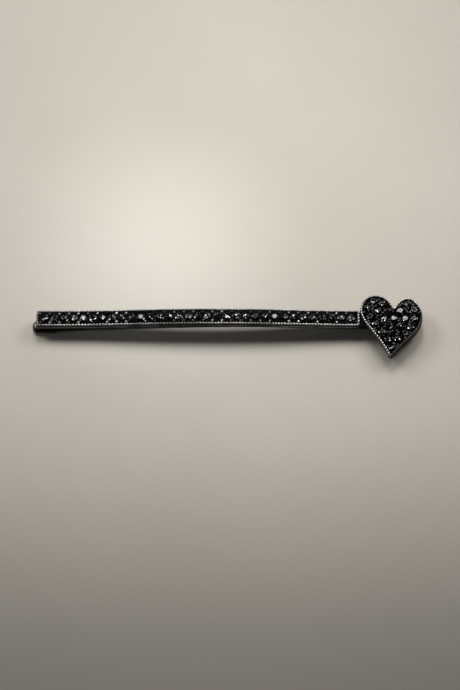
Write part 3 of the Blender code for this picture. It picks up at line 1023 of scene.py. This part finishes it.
@dataclass
class Setting(ABC):
    """A cast setting: a flanged foot, a wall, a row of round beads and a face with seats and small domes of metal."""

    node: str
    solid: bpy.types.Object
    stones: list[StonePlace]
    finish: GunmetalPlating
    steps: int = 4
    foot_inset: float = 0.45 * MM
    bead_middle: float = 0.245 * MM
    bead_half_width: float = 0.212 * MM
    bead_height: float = 0.30 * MM
    bead_root: float = 0.05 * MM
    saddle_share: float = 0.10
    neck_share: float = 0.45
    bead_points: int = 11
    bead_squareness: float = 2.3
    neck_crest: float = 0.08
    bulge_crest: float = 0.76
    seat_clearance: float = 0.05 * MM
    seat_sides: int = 24
    seat_lip: float = 0.012 * MM
    lip_drop: float = 0.03 * MM
    lip_crest: float = 0.2
    seat_depth_share: float = 0.40
    seat_spare_depth: float = 0.05 * MM
    seat_floor_share: float = 0.12
    dome_crests: Band = (0.0, 0.85)
    dome_foot_crest: float = 0.2
    dome_rise_share: float = 1.15
    most_dome_rise: float = 0.30 * MM
    dome_root: float = 0.12 * MM
    dome_sides: int = 12
    dome_rings: int = 4
    # How far the normal of an upright wall of the solid may rise, and the least such wall that is read
    upright: float = 0.001
    least_area: float = 0.05 * MM * MM
    # The foot of the wall: how far in from the outline, how high above the base, and how proud it is
    foot: tuple[tuple[float, float, float], ...] = (
        (0.22, 0.00, 0.0),
        (0.04, 0.01, 0.1),
        (-0.02, 0.07, 0.2),
        (-0.04, 0.16, 0.1),
        (-0.04, 0.56, 0.1),
        (-0.03, 0.70, 0.22),
        (0.00, 0.81, 0.40),
        (0.05, 0.885, 0.30),
        (0.10, 0.90, 0.1),
        (0.115, 0.96, 0.0),
        (0.09, 1.06, 0.0),
    )
    # The wall's top: how far in from the outline, how far below the face, and how proud it is
    brow: tuple[tuple[float, float, float], ...] = ((0.06, 0.40, 0.1), (0.05, 0.20, 0.1))

    def __post_init__(self) -> None:
        """Reads the outline off the top edges of the solid's upright walls, with the face's level there."""
        mesh = self.solid.data
        self.base = min(vert.co.z for vert in mesh.vertices)
        beside: dict[Place, set[Place]] = {}
        for face in mesh.polygons:
            if abs(face.normal.z) > self.upright or face.area < self.least_area:
                continue
            corners = [tuple(round(v, DIGITS) for v in mesh.vertices[i].co) for i in face.vertices]
            low, middle, high = sorted(corners, key=itemgetter(2))
            if middle[2] - low[2] > high[2] - middle[2]:
                beside.setdefault(middle, set()).add(high)
                beside.setdefault(high, set()).add(middle)
        self.outline = walk_round(beside)
        self.fit_face()

    @abstractmethod
    def fit_face(self) -> None:
        """Works out the face's form from the outline and the stones."""

    @abstractmethod
    def face_level(self, x: np.ndarray, y: np.ndarray) -> np.ndarray:
        """The face's level at these places."""

    @abstractmethod
    def base_level(self, x: np.ndarray) -> np.ndarray:
        """The base's level at these places along X."""

    @abstractmethod
    def dome_places(self) -> list[tuple[float, float, float]]:
        """The (x, y, radius) of each dome of metal between the stones."""

    def wear_and_painted_light(self, inward: np.ndarray, across: float = 0.0) -> np.ndarray:
        """How far each row of the outline is rubbed bright. The bar and heart also paint light and shade here.

        Args:
            inward: The direction into the setting at each row.
            across: Where on the bead, from -1 at the stones' side to 1 outside.

        Returns:
            One share for each row.
        """
        return np.ones(len(inward))

    def build(self) -> bpy.types.Object:
        """Builds the setting and lets it ride on the grip.

        Returns:
            The setting.
        """
        work = MeshWork(f"{self.node}_cast")
        path = curve_through(self.outline, self.steps, closed=True)
        ahead, back = np.roll(path, -1, 0), np.roll(path, 1, 0)
        along = ahead[:, :2] - back[:, :2]
        along /= np.linalg.norm(along, axis=1)[:, None]
        inward = np.column_stack([-along[:, 1], along[:, 0]])
        loops = [self._wall_loop(work, path, inward, row, from_base=True) for row in self.foot]
        loops += [self._wall_loop(work, path, inward, row, from_base=False) for row in self.brow]
        loops += self._bead_loops(work, path, inward)
        inner = path[:, :2] + inward * self.foot_inset
        levels = self.face_level(inner[:, 0], inner[:, 1])
        loops.append(work.loop([Vector((*xy, z)) for xy, z in zip(inner, levels)]))
        work.bands(loops)
        work.fill(loops[0])
        rims = [self._seat(work, stone) for stone in self.stones]
        work.fill(loops[-1], rims)
        chance = random.Random(len(self.node))
        for x, y, radius in self.dome_places():
            self._dome(work, x, y, radius, chance.uniform(*self.dome_crests))
        made = work.done(self.finish)
        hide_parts(self.node)
        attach(made, Body.GRIP.value)
        return made

    def _wall_loop(
        self, work: MeshWork, path: np.ndarray, inward: np.ndarray, row: tuple[float, float, float], from_base: bool
    ) -> Loop:
        """One loop of the wall.

        Args:
            work: The mesh in the making.
            path: The outline's rows.
            inward: The direction into the setting at each row.
            row: How far in, how far from the base or the face in millimetres, and how proud it is.
            from_base: Whether the height counts up from the base, and otherwise down from the face.

        Returns:
            The loop.
        """
        inset, height, crest = row
        places = path[:, :2] + inward * inset * MM
        levels = self.base_level(path[:, 0]) + height * MM if from_base else path[:, 2] - height * MM
        return work.loop([Vector((*xy, z)) for xy, z in zip(places, levels)], list(crest * self.wear_and_painted_light(inward)))

    def _bead_loops(self, work: MeshWork, path: np.ndarray, inward: np.ndarray) -> list[Loop]:
        """Makes the beaded edge. Each bead is two outline points long, and narrow necks join the beads.

        Args:
            work: The mesh in the making.
            path: The outline's rows.
            inward: The direction into the setting at each row.

        Returns:
            The edge's loops, from outside to inside.
        """
        count = len(path)
        phase = (np.arange(count) / (2 * self.steps)) % 1.0
        power = self.bead_squareness
        bulge = np.clip(1 - np.abs(2 * phase - 1) ** power, 0, 1) ** (1 / power)
        width = self.bead_half_width * (self.neck_share + (1 - self.neck_share) * bulge)
        rise = self.bead_height * (self.saddle_share + (1 - self.saddle_share) * bulge)
        loops = []
        for number in range(self.bead_points):
            angle = math.pi * number / (self.bead_points - 1)
            across = math.copysign(abs(math.cos(angle)) ** (2 / power), math.cos(angle))
            up = math.sin(angle) ** (2 / power)
            inset = self.bead_middle - width * across
            places = path[:, :2] + inward * inset[:, None]
            levels = self.face_level(places[:, 0], places[:, 1]) - self.bead_root
            levels = levels + (rise + self.bead_root) * up
            points = [Vector((*xy, z)) for xy, z in zip(places, levels)]
            crests = (self.neck_crest + self.bulge_crest * bulge * up) * self.wear_and_painted_light(inward, across)
            loops.append(work.loop(points, list(crests)))
        return loops

    def _seat(self, work: MeshWork, stone: StonePlace) -> Loop:
        """Sinks a stone's seat.

        Args:
            work: The mesh in the making.
            stone: The stone.

        Returns:
            The seat's rim.
        """
        radius = stone.diameter / 2 + self.seat_clearance
        depth = stone.diameter * self.seat_depth_share + self.seat_spare_depth
        rows = (
            (radius + self.seat_lip, 0.0, 0.0),
            (radius - self.seat_lip, self.lip_drop, self.lip_crest),
            (radius * self.seat_floor_share, depth, 0.0),
        )
        frame = stone.frame()
        loops = []
        for reach, sunk, crest in rows:
            points = [frame @ point for point in ring_points(reach, -sunk, self.seat_sides)]
            loops.append(work.loop(points, crest))
        work.bands(loops)
        work.cap(loops[-1])
        return loops[0]

    def _dome(self, work: MeshWork, x: float, y: float, radius: float, crest: float) -> None:
        """Raises a dome of metal that holds the stones beside it.

        Args:
            work: The mesh in the making.
            x: The dome's middle along X.
            y: The dome's middle along Y.
            radius: Its radius.
            crest: How polished its top is.
        """
        level = float(self.face_level(np.array([x]), np.array([y]))[0])
        height = min(radius * self.dome_rise_share, self.most_dome_rise)
        loops = []
        for number in range(-1, self.dome_rings):
            angle = math.pi / 2 * max(number, 0) / self.dome_rings
            z = level + (height * math.sin(angle) if number >= 0 else -self.dome_root)
            points = ring_points(radius * math.cos(angle), z, self.dome_sides, middle=(x, y))
            share = self.dome_foot_crest + (1 - self.dome_foot_crest) * math.sin(angle)
            loops.append(work.loop(points, crest * share))
        work.tube(loops, Vector((x, y, level + height)), crest)


@dataclass
class BarSetting(Setting):
    """The long bar's setting, which bows along its length."""

    wall: float = 1.72 * MM
    dome_reach: float = 0.93 * MM
    dome_radius: float = 0.31 * MM
    # Painted light on the beads: the far edge lit on its stones' side and shaded outside, the near edge a little
    # darker
    far_painted_light: float = 1.0
    far_painted_light_slope: float = 1.0
    near_painted_light: float = 0.95

    def fit_face(self) -> None:
        """The face's level follows the bow, read off the outline along the bar."""
        rows = self.outline[np.argsort(self.outline[:, 0])]
        self.bow = rows[:, [0, 2]]

    def face_level(self, x: np.ndarray, y: np.ndarray) -> np.ndarray:
        """The face's level at these places along the bar."""
        return np.interp(x, self.bow[:, 0], self.bow[:, 1])

    def base_level(self, x: np.ndarray) -> np.ndarray:
        """The base bows with the face."""
        return self.face_level(x, x) - self.wall

    def wear_and_painted_light(self, inward: np.ndarray, across: float = 0.0) -> np.ndarray:
        """Paints a highlight on the far edge's beads on their side that faces the stones, and shade on their outside.
        """
        far = max(self.far_painted_light - self.far_painted_light_slope * across, 0.0)
        return np.where(inward[:, 1] < 0, far, self.near_painted_light)

    def dome_places(self) -> list[tuple[float, float, float]]:
        """Sets two domes between each pair of stones, and two at each end of the row.

        Returns:
            The (x, y, radius) of each dome.
        """
        xs = [stone.middle.x for stone in self.stones]
        pitch = xs[1] - xs[0]
        middle = self.stones[0].middle.y
        places = []
        for x in [xs[0] - pitch / 2, *(x + pitch / 2 for x in xs)]:
            places += [(x, middle + side * self.dome_reach, self.dome_radius) for side in (-1, 1)]
        return places


@dataclass
class HeartSetting(Setting):
    """The heart's setting, gently domed and paved with stones."""

    most_radius: float = 0.26 * MM
    least_radius: float = 0.13 * MM
    overlap: float = 0.07 * MM
    dome_crests: Band = (-0.2, 0.45)
    search_step: float = 0.07 * MM
    # The flank that faces this way gets painted shade: from the first share of it on, in full at the second
    painted_shade_side: tuple[float, float] = (0.80, -0.60)
    painted_shade_band: Band = (0.3, 0.7)
    painted_shade_share: float = 0.72

    def fit_face(self) -> None:
        """Fits the dome's level to the outline and the stones."""
        known = [tuple(row) for row in self.outline]
        known += [tuple(stone.middle) for stone in self.stones]
        x, y, z = np.array(known).T
        self.dome = np.linalg.lstsq(self._terms(x, y), z, rcond=None)[0]

    @staticmethod
    def _terms(x: np.ndarray, y: np.ndarray) -> np.ndarray:
        """The terms of the dome's level, in columns."""
        return np.column_stack([np.ones_like(x), x, y, x * x + y * y])

    def face_level(self, x: np.ndarray, y: np.ndarray) -> np.ndarray:
        """The dome's level at these places."""
        return self._terms(x, y) @ self.dome

    def base_level(self, x: np.ndarray) -> np.ndarray:
        """The base is level."""
        return np.full_like(x, self.base)

    def wear_and_painted_light(self, inward: np.ndarray, across: float = 0.0) -> np.ndarray:
        """Paints shade on the flank that faces the right front: its crest is cut, so it hardly shows rubbed metal."""
        facing = -(inward @ np.array(self.painted_shade_side))
        return 1 - self.painted_shade_share * np.interp(facing, self.painted_shade_band, (0.0, 1.0))

    def dome_places(self) -> list[tuple[float, float, float]]:
        """Sets grains of metal wherever the stones and the beads leave room, the largest first.

        Returns:
            The (x, y, radius) of each grain.
        """
        low, high = self.outline[:, :2].min(0), self.outline[:, :2].max(0)
        columns = [np.arange(low[axis], high[axis], self.search_step) for axis in (0, 1)]
        spots = np.stack(np.meshgrid(*columns), -1).reshape(-1, 2)
        room = np.minimum(self._room_to_edge(spots) - self.foot_inset, self.most_radius)
        for stone in self.stones:
            reach = stone.diameter / 2 + self.seat_clearance - self.overlap
            room = np.minimum(room, np.linalg.norm(spots - np.array(stone.middle.xy), axis=1) - reach)
        found = []
        while room.max() > self.least_radius:
            best = int(room.argmax())
            radius = float(room[best])
            found.append((float(spots[best][0]), float(spots[best][1]), radius))
            room = np.minimum(room, np.linalg.norm(spots - spots[best], axis=1) - radius)
        return found

    def _room_to_edge(self, spots: np.ndarray) -> np.ndarray:
        """Measures how far inside the outline each place is.

        Args:
            spots: The places, one row each.

        Returns:
            The distance of each, below zero outside.
        """
        edge = curve_through(self.outline, self.steps, closed=True)[:, :2]
        along = np.roll(edge, -1, 0) - np.roll(edge, 1, 0)
        inward = np.column_stack([-along[:, 1], along[:, 0]])
        room = np.empty(len(spots))
        for number, spot in enumerate(spots):
            away = np.linalg.norm(edge - spot, axis=1)
            nearest = int(away.argmin())
            room[number] = math.copysign(away[nearest], (spot - edge[nearest]) @ inward[nearest])
        return room


@dataclass
class BridgeJoint:
    """The metal that joins the bar's end to the heart's flank, below both faces."""

    bar: BarSetting
    heart: HeartSetting
    finish: GunmetalPlating
    name: str = "bridge_joint"
    rows: int = 9
    bite: float = 0.25 * MM
    drop: float = 0.22 * MM
    base_gap: float = 0.02 * MM
    end_length: float = 1.0 * MM
    flank_reach: float = 4.0 * MM
    near_inset: float = 0.06 * MM
    far_inset: float = 0.30 * MM

    def build(self) -> bpy.types.Object:
        """Builds the joint and lets it ride on the grip.

        Returns:
            The joint.
        """
        end = self.bar.outline[:, 0].max()
        side = self.bar.outline[self.bar.outline[:, 0] > end - self.end_length]
        near, far = side[:, 1].min() + self.near_inset, side[:, 1].max() - self.far_inset
        flank = self.heart.outline[self.heart.outline[:, 0] < end + self.flank_reach]
        flank = flank[np.argsort(flank[:, 1])]
        top = float(side[:, 2].min()) - self.drop
        base = max(top + self.drop - self.bar.wall, self.heart.base) + self.base_gap
        work = MeshWork(self.name)
        loops = []
        for number in range(self.rows):
            y = near + (far - near) * number / (self.rows - 1)
            right = float(np.interp(y, flank[:, 1], flank[:, 0])) + self.bite
            left = end - self.bite
            right = max(right, left + self.bite)
            corners = ((left, base), (right, base), (right, top), (left, top))
            loops.append(work.loop([Vector((x, y, z)) for x, z in corners]))
        work.tube(loops)
        made = work.done(self.finish)
        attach(made, Body.GRIP.value)
        return made


# Spring strip and its dipped end


@dataclass
class SpringStrip:
    """The flat spring strip: up under the settings, round the fold, and back along the arm that opens."""

    upper: bpy.types.Object
    lower: bpy.types.Object
    hinge: Vector
    finish: BlackenedSteel
    width: float = 2.0 * MM
    thickness: float = 0.5 * MM
    edge_radius: float = 0.15 * MM
    corner_steps: int = 4
    fold_steps: int = 18
    line_steps: int = 5
    bending_run: float = 0.7 * MM
    # How far from the fold's end the upper arm is read, how near it the fold's top is read, and the gap between
    # the rings of points of a packed arm
    fold_reach: float = 3.0 * MM
    fold_top_reach: float = 1.2 * MM
    ring_gap: float = 0.10 * MM

    def __post_init__(self) -> None:
        """Reads the middle line of both arms off their solids, and finds the row where they part."""
        lower = self._ring_middles(node_points(self.lower))[::-1]
        points = node_points(self.upper)
        right = points[:, 0].max()
        low = self.hinge.z
        high = float(points[:, 2][points[:, 0] > right - self.fold_top_reach].max()) - self.thickness / 2
        on_arm = (points[:, 0] < right - self.fold_reach) & (points[:, 2] > low + self.thickness)
        upper = self._ring_middles(points[on_arm])
        radius = (high - low) / 2
        x, y, z = right - radius - self.thickness / 2, upper[-1][1], (high + low) / 2
        start = np.array([x, y, high])
        angles = [math.pi / 2 - math.pi * i / self.fold_steps for i in range(1, self.fold_steps + 1)]
        arc = [(x + radius * math.cos(a), y, z + radius * math.sin(a)) for a in angles]
        self.upper_line = curve_through(np.vstack([upper, start]), self.line_steps, closed=False)
        self.lower_line = curve_through(np.vstack([arc[-1], lower]), self.line_steps, closed=False)[1:]
        self.line = np.vstack([self.upper_line, arc, self.lower_line])
        unbent = self.lower_line[:, 0] > self.hinge.x + self.bending_run
        self.parting = len(self.line) - len(self.lower_line) + int(unbent.sum()) - 1

    def _ring_middles(self, points: np.ndarray) -> np.ndarray:
        """Finds the rings of a swept solid.

        Args:
            points: The solid's points.

        Returns:
            The middle of each ring, in order along X.
        """
        rows = points[np.argsort(points[:, 0])]
        cuts = np.nonzero(np.diff(rows[:, 0]) > self.ring_gap)[0] + 1
        return np.array([(ring.min(0) + ring.max(0)) / 2 for ring in np.split(rows, cuts)])

    def section(self) -> list[tuple[float, float, float]]:
        """Draws the strip's section.

        Returns:
            Its points, as (across, up, how proud it is) rows.
        """
        half, rise, radius = self.width / 2, self.thickness / 2, self.edge_radius
        corners = (
            (half - radius, rise - radius, 0.0),
            (radius - half, rise - radius, math.pi / 2),
            (radius - half, radius - rise, math.pi),
            (half - radius, radius - rise, 3 * math.pi / 2),
        )
        rows = []
        for across, up, first in corners:
            for step in range(self.corner_steps + 1):
                angle = first + math.pi / 2 * step / self.corner_steps
                proud = math.sin(math.pi * step / self.corner_steps)
                rows.append((across + radius * math.cos(angle), up + radius * math.sin(angle), proud))
        return rows

    def _sweep(self, name: str, first: int, last: int) -> bpy.types.Object:
        """Sweeps the section along a part of the strip's line.

        Args:
            name: The piece's name.
            first: The row of the line where it starts.
            last: The row of the line where it ends.

        Returns:
            The piece, not yet riding on a body.
        """
        work = MeshWork(name)
        line = [Vector(row) for row in self.line]
        section = self.section()
        crests = [proud for _, _, proud in section]
        loops = []
        for number in range(first, last + 1):
            along = (line[min(number + 1, len(line) - 1)] - line[max(number - 1, 0)]).normalized()
            up = Vector((-along.z, 0, along.x)).normalized()
            points = [line[number] + Vector((0, across, 0)) + up * rise for across, rise, _ in section]
            loops.append(work.loop(points, crests))
        work.tube(loops)
        return work.done(self.finish)

    def build_upper(self) -> bpy.types.Object:
        """Builds the upper arm and the fold, which stay with the settings.

        Returns:
            The piece.
        """
        made = self._sweep("upper_arm_strip", 0, self.parting)
        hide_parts("upper_arm_and_fold")
        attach(made, Body.GRIP.value)
        return made

    def build_lower(self) -> bpy.types.Object:
        """Builds the arm that opens. It meets the fold's end flush.

        Returns:
            The piece.
        """
        made = self._sweep("lower_arm_strip", self.parting, len(self.line) - 1)
        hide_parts("lower_arm")
        run = Vector((self.bending_run, 0, 0))
        self.hinge + run
        self.hinge - run
        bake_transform(made)
        return made


@dataclass
class SolderSeam:
    """The film of solder that holds the settings on the strip."""

    strip: SpringStrip
    finish: Solder
    width: float = 1.78 * MM
    thickness: float = 0.10 * MM
    waver: float = 0.10 * MM
    hollow: float = 0.05 * MM
    crest: float = 0.5
    end_rows: int = 2
    seed: int = 11

    def build(self) -> bpy.types.Object:
        """Builds the seam along the strip's upper arm, short of both its ends.

        Returns:
            The seam.
        """
        work = MeshWork("solder_seam")
        chance = random.Random(self.seed)
        loops = []
        for row in self.strip.upper_line[self.end_rows : -1]:
            base = Vector(row) + Vector((0, 0, self.strip.thickness / 2))
            half = self.width / 2 + chance.uniform(-1, 1) * self.waver
            waist = half - self.hollow
            rows = ((-half, 0.0), (half, 0.0), (waist, 0.5), (half, 1.0), (-half, 1.0), (-waist, 0.5))
            points = [base + Vector((0, across, up * self.thickness)) for across, up in rows]
            loops.append(work.loop(points, self.crest))
        work.tube(loops)
        made = work.done(self.finish)
        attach(made, Body.GRIP.value)
        return made


@dataclass
class DippedTip:
    """The glossy dipped end of the arm that opens, with its pocket for the strip."""

    strip: SpringStrip
    finish: DippedPolymer
    node: str = "dipped_tip"
    points_round: int = 32
    squareness: float = 2.7
    # From the pocket's floor out to its mouth and along the outside to the nose: how far from the mouth towards
    # the nose, then half the width and half the thickness there
    inside: tuple[tuple[float, float, float], ...] = ((3.98, 1.03, 0.28), (0.02, 1.03, 0.28))
    outside: tuple[tuple[float, float, float], ...] = (
        (0.00, 1.09, 0.34),
        (0.03, 1.17, 0.42),
        (0.10, 1.24, 0.49),
        (0.22, 1.295, 0.545),
        (0.42, 1.325, 0.575),
        (0.80, 1.338, 0.590),
        (1.60, 1.334, 0.588),
        (2.50, 1.340, 0.592),
        (3.30, 1.350, 0.600),
    )
    nose_run: float = 1.35
    nose_power: float = 2.6
    nose_steps: int = 10
    sharp_from: float = 60.0
    # How many rows of the strip's end give the way that the tip points
    rows_read: int = 12

    def _ring(self, middle: Vector, half_width: float, half_rise: float) -> list[Vector]:
        """Draws a rounded section across the tip.

        Args:
            middle: The section's middle.
            half_width: Half its width in millimetres.
            half_rise: Half its thickness in millimetres.

        Returns:
            Its points.
        """
        power = 2 / self.squareness
        points = []
        for i in range(self.points_round):
            angle = 2 * math.pi * (i + 0.5) / self.points_round
            c, s = math.cos(angle), math.sin(angle)
            across = math.copysign(abs(c) ** power, c) * half_width * MM
            up = math.copysign(abs(s) ** power, s) * half_rise * MM
            points.append(middle + Vector((0, across, up)))
        return points

    def build(self) -> bpy.types.Object:
        """Builds the tip and lets it ride on the opening arm.

        Returns:
            The tip.
        """
        low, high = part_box(self.node)
        last, before = Vector(self.strip.line[-1]), Vector(self.strip.line[-self.rows_read])
        slope = (before.y - last.y) / (before.x - last.x)
        length = (high.x - low.x) / MM

        def middle(run: float) -> Vector:
            """The tip's middle, this many millimetres from the mouth."""
            x = high.x - run * MM
            return Vector((x, last.y + (x - last.x) * slope, (low.z + high.z) / 2))

        work = MeshWork("dipped_tip_gloss")
        loops = [work.loop(self._ring(middle(run), wide, thick)) for run, wide, thick in self.inside + self.outside]
        _, wide, thick = self.outside[-1]
        for step in range(self.nose_steps):
            share = math.sin(math.pi / 2 * step / self.nose_steps)
            run = length - self.nose_run * (1 - share)
            shrink = (1 - share**self.nose_power) ** (1 / self.nose_power)
            loops.append(work.loop(self._ring(middle(run), wide * shrink, thick * shrink), 1.0))
        work.tube(loops, middle(length), 1.0)
        made = work.done(self.finish, self.sharp_from)
        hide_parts(self.node)
        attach(made, Body.OPENING_ARM.value)
        return made


# Studio

WARM: Colour = (1.0, 0.985, 0.965)


@dataclass(frozen=True)
class Lamp:
    """A soft lamp, aimed at the clip.

    The place is its direction from the clip, as degrees round from +Y towards +X and degrees up, and its distance.
    The size is its width in metres, and the cone is in degrees.
    """

    name: str
    round_from_back: float
    up: float
    distance: float
    size: float
    watts: float
    colour: Colour = (1.0, 1.0, 1.0)
    aim: Vector = field(default_factory=lambda: Vector((0, 0, 0)))
    cone: float = 0.0

    def hang(self) -> bpy.types.Object:
        """Makes the lamp: a spot with a soft rim where it has a cone, and otherwise a round soft box.

        Returns:
            The lamp.
        """
        light = bpy.data.lights.new(self.name, "SPOT" if self.cone else "AREA")
        light.energy = self.watts
        light.color = self.colour
        if self.cone:
            light.spot_size = math.radians(self.cone)
            light.spot_blend = 1.0
            light.shadow_soft_size = self.size / 2
        else:
            light.shape = "DISK"
            light.size = self.size
        made = put_in_scene(self.name, light)
        turn, rise = math.radians(self.round_from_back), math.radians(self.up)
        away = Vector((math.sin(turn) * math.cos(rise), math.cos(turn) * math.cos(rise), math.sin(rise)))
        made.location = self.aim + away * self.distance
        made.rotation_mode = "QUATERNION"
        made.rotation_quaternion = away.to_track_quat("Z", "Y")
        return made


@dataclass
class Studio:
    """The table, the lamps, the dim room and the camera."""

    table_half: float = 3.0
    aim: Vector = field(default_factory=lambda: Vector((0.53 * MM, -4.10 * MM, 3.5 * MM)))
    elevation: float = 70.0
    distance: float = 1.000
    lens: float = 255.0
    sensor: float = 36.0
    sight: Band = (0.01, 10.0)
    room: Colour = (0.016, 0.016, 0.017)
    horizon: Colour = (0.20, 0.195, 0.185)
    horizon_band: Band = (0.02, 0.16)
    lamps: tuple[Lamp, ...] = (
        Lamp("key_lamp", 0, 58, 0.30, 0.150, 2.0, WARM, Vector((0.004, 0.022, 0)), 46),
        Lamp("pool_lamp", 0, 58, 0.30, 0.150, 1.0, WARM, Vector((-0.012, 0.016, 0)), 15),
        Lamp("left_wash", -52, 44, 0.32, 0.140, 0.34, WARM, Vector((-0.010, 0.014, 0))),
        Lamp("right_wash", 52, 44, 0.32, 0.140, 0.28, WARM, Vector((-0.010, 0.014, 0))),
        Lamp("left_box", -98, 24, 0.30, 0.040, 0.050),
        Lamp("right_box", 72, 36, 0.32, 0.040, 0.025),
        Lamp("back_box", 12, 22, 0.40, 0.050, 0.030),
    )

    def build(self) -> None:
        """Builds the table, the lamps, the room and the camera."""
        self._lay_table()
        for lamp in self.lamps:
            lamp.hang()
        self._light_room()
        self._place_camera()

    def _lay_table(self) -> None:
        """Lays the pale table at the level that the clip lies on."""
        work = bmesh.new()
        half = self.table_half
        corners = ((-half, -half), (half, -half), (half, half), (-half, half))
        work.faces.new([work.verts.new((*corner, 0)) for corner in corners])
        mesh = bpy.data.meshes.new("table_top")
        work.to_mesh(mesh)
        work.free()
        mesh.materials.append(TableTop().material())
        put_in_scene("table_top", mesh)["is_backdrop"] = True

    def _light_room(self) -> None:
        """A dim room whose horizon is as pale as the table."""
        world = bpy.data.worlds.new("dim_room")
        bpy.context.scene.world = world
        world.use_nodes = True
        graph = Graph(world.node_tree)
        ray = graph.node("ShaderNodeTexCoord", output="Generated")
        rise = graph.between(graph.along(ray, "Z"), self.horizon_band)
        tone = graph.blend(rise, self.horizon, self.room)
        graph.feed(graph.own("BACKGROUND").inputs["Color"], tone)

    def _place_camera(self) -> None:
        """Puts the camera where the photographer stood."""
        data = bpy.data.cameras.new("camera")
        data.lens = self.lens
        data.sensor_width = self.sensor
        data.clip_start, data.clip_end = self.sight
        camera = put_in_scene("camera", data)
        rise = math.radians(self.elevation)
        back = Vector((0, -math.cos(rise), math.sin(rise)))
        camera.location = self.aim + back * self.distance
        camera.rotation_mode = "QUATERNION"
        camera.rotation_quaternion = back.to_track_quat("Z", "Y")
        bpy.context.scene.camera = camera
        bpy.context.scene.view_settings.view_transform = "Standard"


# The clip


@dataclass
class HairClip:
    """The whole clip, built from its settings, stones, strip and tip."""

    nodes: dict[str, bpy.types.Object]
    hinge: Vector
    cut: StoneCut = field(default_factory=StoneCut)
    bar_seed: int = 95
    heart_seed: int = 302
    heart_tilt: float = 1.8
    heart_lean: float = -3.4
    # Stones whose tables catch the key lamp, with their tilt to the back and to the right in degrees
    lit_on_bar: dict[str, tuple[float, float]] = field(
        default_factory=lambda: {
            "bar_stone_05": (4.8, 4.2),
            "bar_stone_11": (4.8, 3.6),
            "bar_stone_16": (1.4, -0.2),
            "bar_stone_23": (1.0, -0.4),
            "bar_stone_25": (4.8, -3.6),
            "bar_stone_27": (1.2, -1.3),
            "bar_stone_32": (1.3, -2.1),
            "bar_stone_33": (0.8, -2.2),
        }
    )
    lit_on_heart: dict[str, tuple[float, float]] = field(
        default_factory=lambda: {
            "heart_stone_04": (-0.1, 0.9),
            "heart_stone_06": (3.2, -5.1),
            "heart_stone_07": (4.4, -6.0),
            "heart_stone_13": (3.4, -3.7),
            "heart_stone_18": (4.6, -4.2),
            "heart_stone_19": (5.2, -3.8),
            "heart_stone_20": (5.0, -4.8),
            "heart_stone_21": (1.8, -4.3),
        }
    )

    def build(self) -> list[bpy.types.Object]:
        """Builds every piece in order.

        Returns:
            The pieces.
        """
        plating, crystal = GunmetalPlating(), BlackCrystal()
        bar = self._places("bar_stone_")
        heart = self._places("heart_")
        strip = SpringStrip(self.nodes["upper_arm_and_fold"], self.nodes["lower_arm"], self.hinge, BlackenedSteel())
        bar_setting = BarSetting("bar_setting", self.nodes["bar_setting"], bar, plating)
        heart_setting = HeartSetting("heart_setting", self.nodes["heart_setting"], heart, plating)
        builders: list[Callable[[], bpy.types.Object]] = [
            bar_setting.build,
            heart_setting.build,
            BridgeJoint(bar_setting, heart_setting, plating).build,
            strip.build_upper,
            strip.build_lower,
            SolderSeam(strip, Solder()).build,
            DippedTip(strip, DippedPolymer()).build,
        ]
        pieces = [build() for build in builders]
        on_bar = StoneSet(bar, crystal, self.bar_seed, self.lit_on_bar)
        on_heart = StoneSet(heart, crystal, self.heart_seed, self.lit_on_heart, self.heart_tilt, self.heart_lean)
        return pieces + on_bar.build(self.cut) + on_heart.build(self.cut)

    def _places(self, prefix: str) -> list[StonePlace]:
        """The places of the stones whose names start so, in order of their names."""
        names = sorted(name for name in self.nodes if name.startswith(prefix) and "stone" in name)
        return [StonePlace.read(name, self.nodes[name], self.cut.pavilion_share) for name in names]


def write_sizes(packed: tuple[Vector, Vector]) -> None:
    """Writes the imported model's box and the dressed model's box.

    Args:
        packed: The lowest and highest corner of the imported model.
    """
    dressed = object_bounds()
    sizes = {
        "cad": [list(corner) for corner in packed],
        "visual": [list(corner) for corner in dressed],
    }
    for name, (low, high) in sizes.items():
        LOG.info("%s box: %s to %s mm", name, [round(v / MM, 2) for v in low], [round(v / MM, 2) for v in high])


def main() -> None:
    """Clears the scene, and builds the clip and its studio."""
    logging.basicConfig(level=logging.INFO, format="%(message)s")
    for obj in list(bpy.data.objects):
        bpy.data.objects.remove(obj, do_unlink=True)
    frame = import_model()
    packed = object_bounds()
    (joint,) = frame["joints"]
    clip = HairClip(frame["nodes"], Vector(joint["pos_m"]))
    for piece in clip.build():
        LOG.info("%s: %d faces", piece.name, len(piece.data.polygons))
    Studio().build()
    write_sizes(packed)


if __name__ == "__main__":
    main()
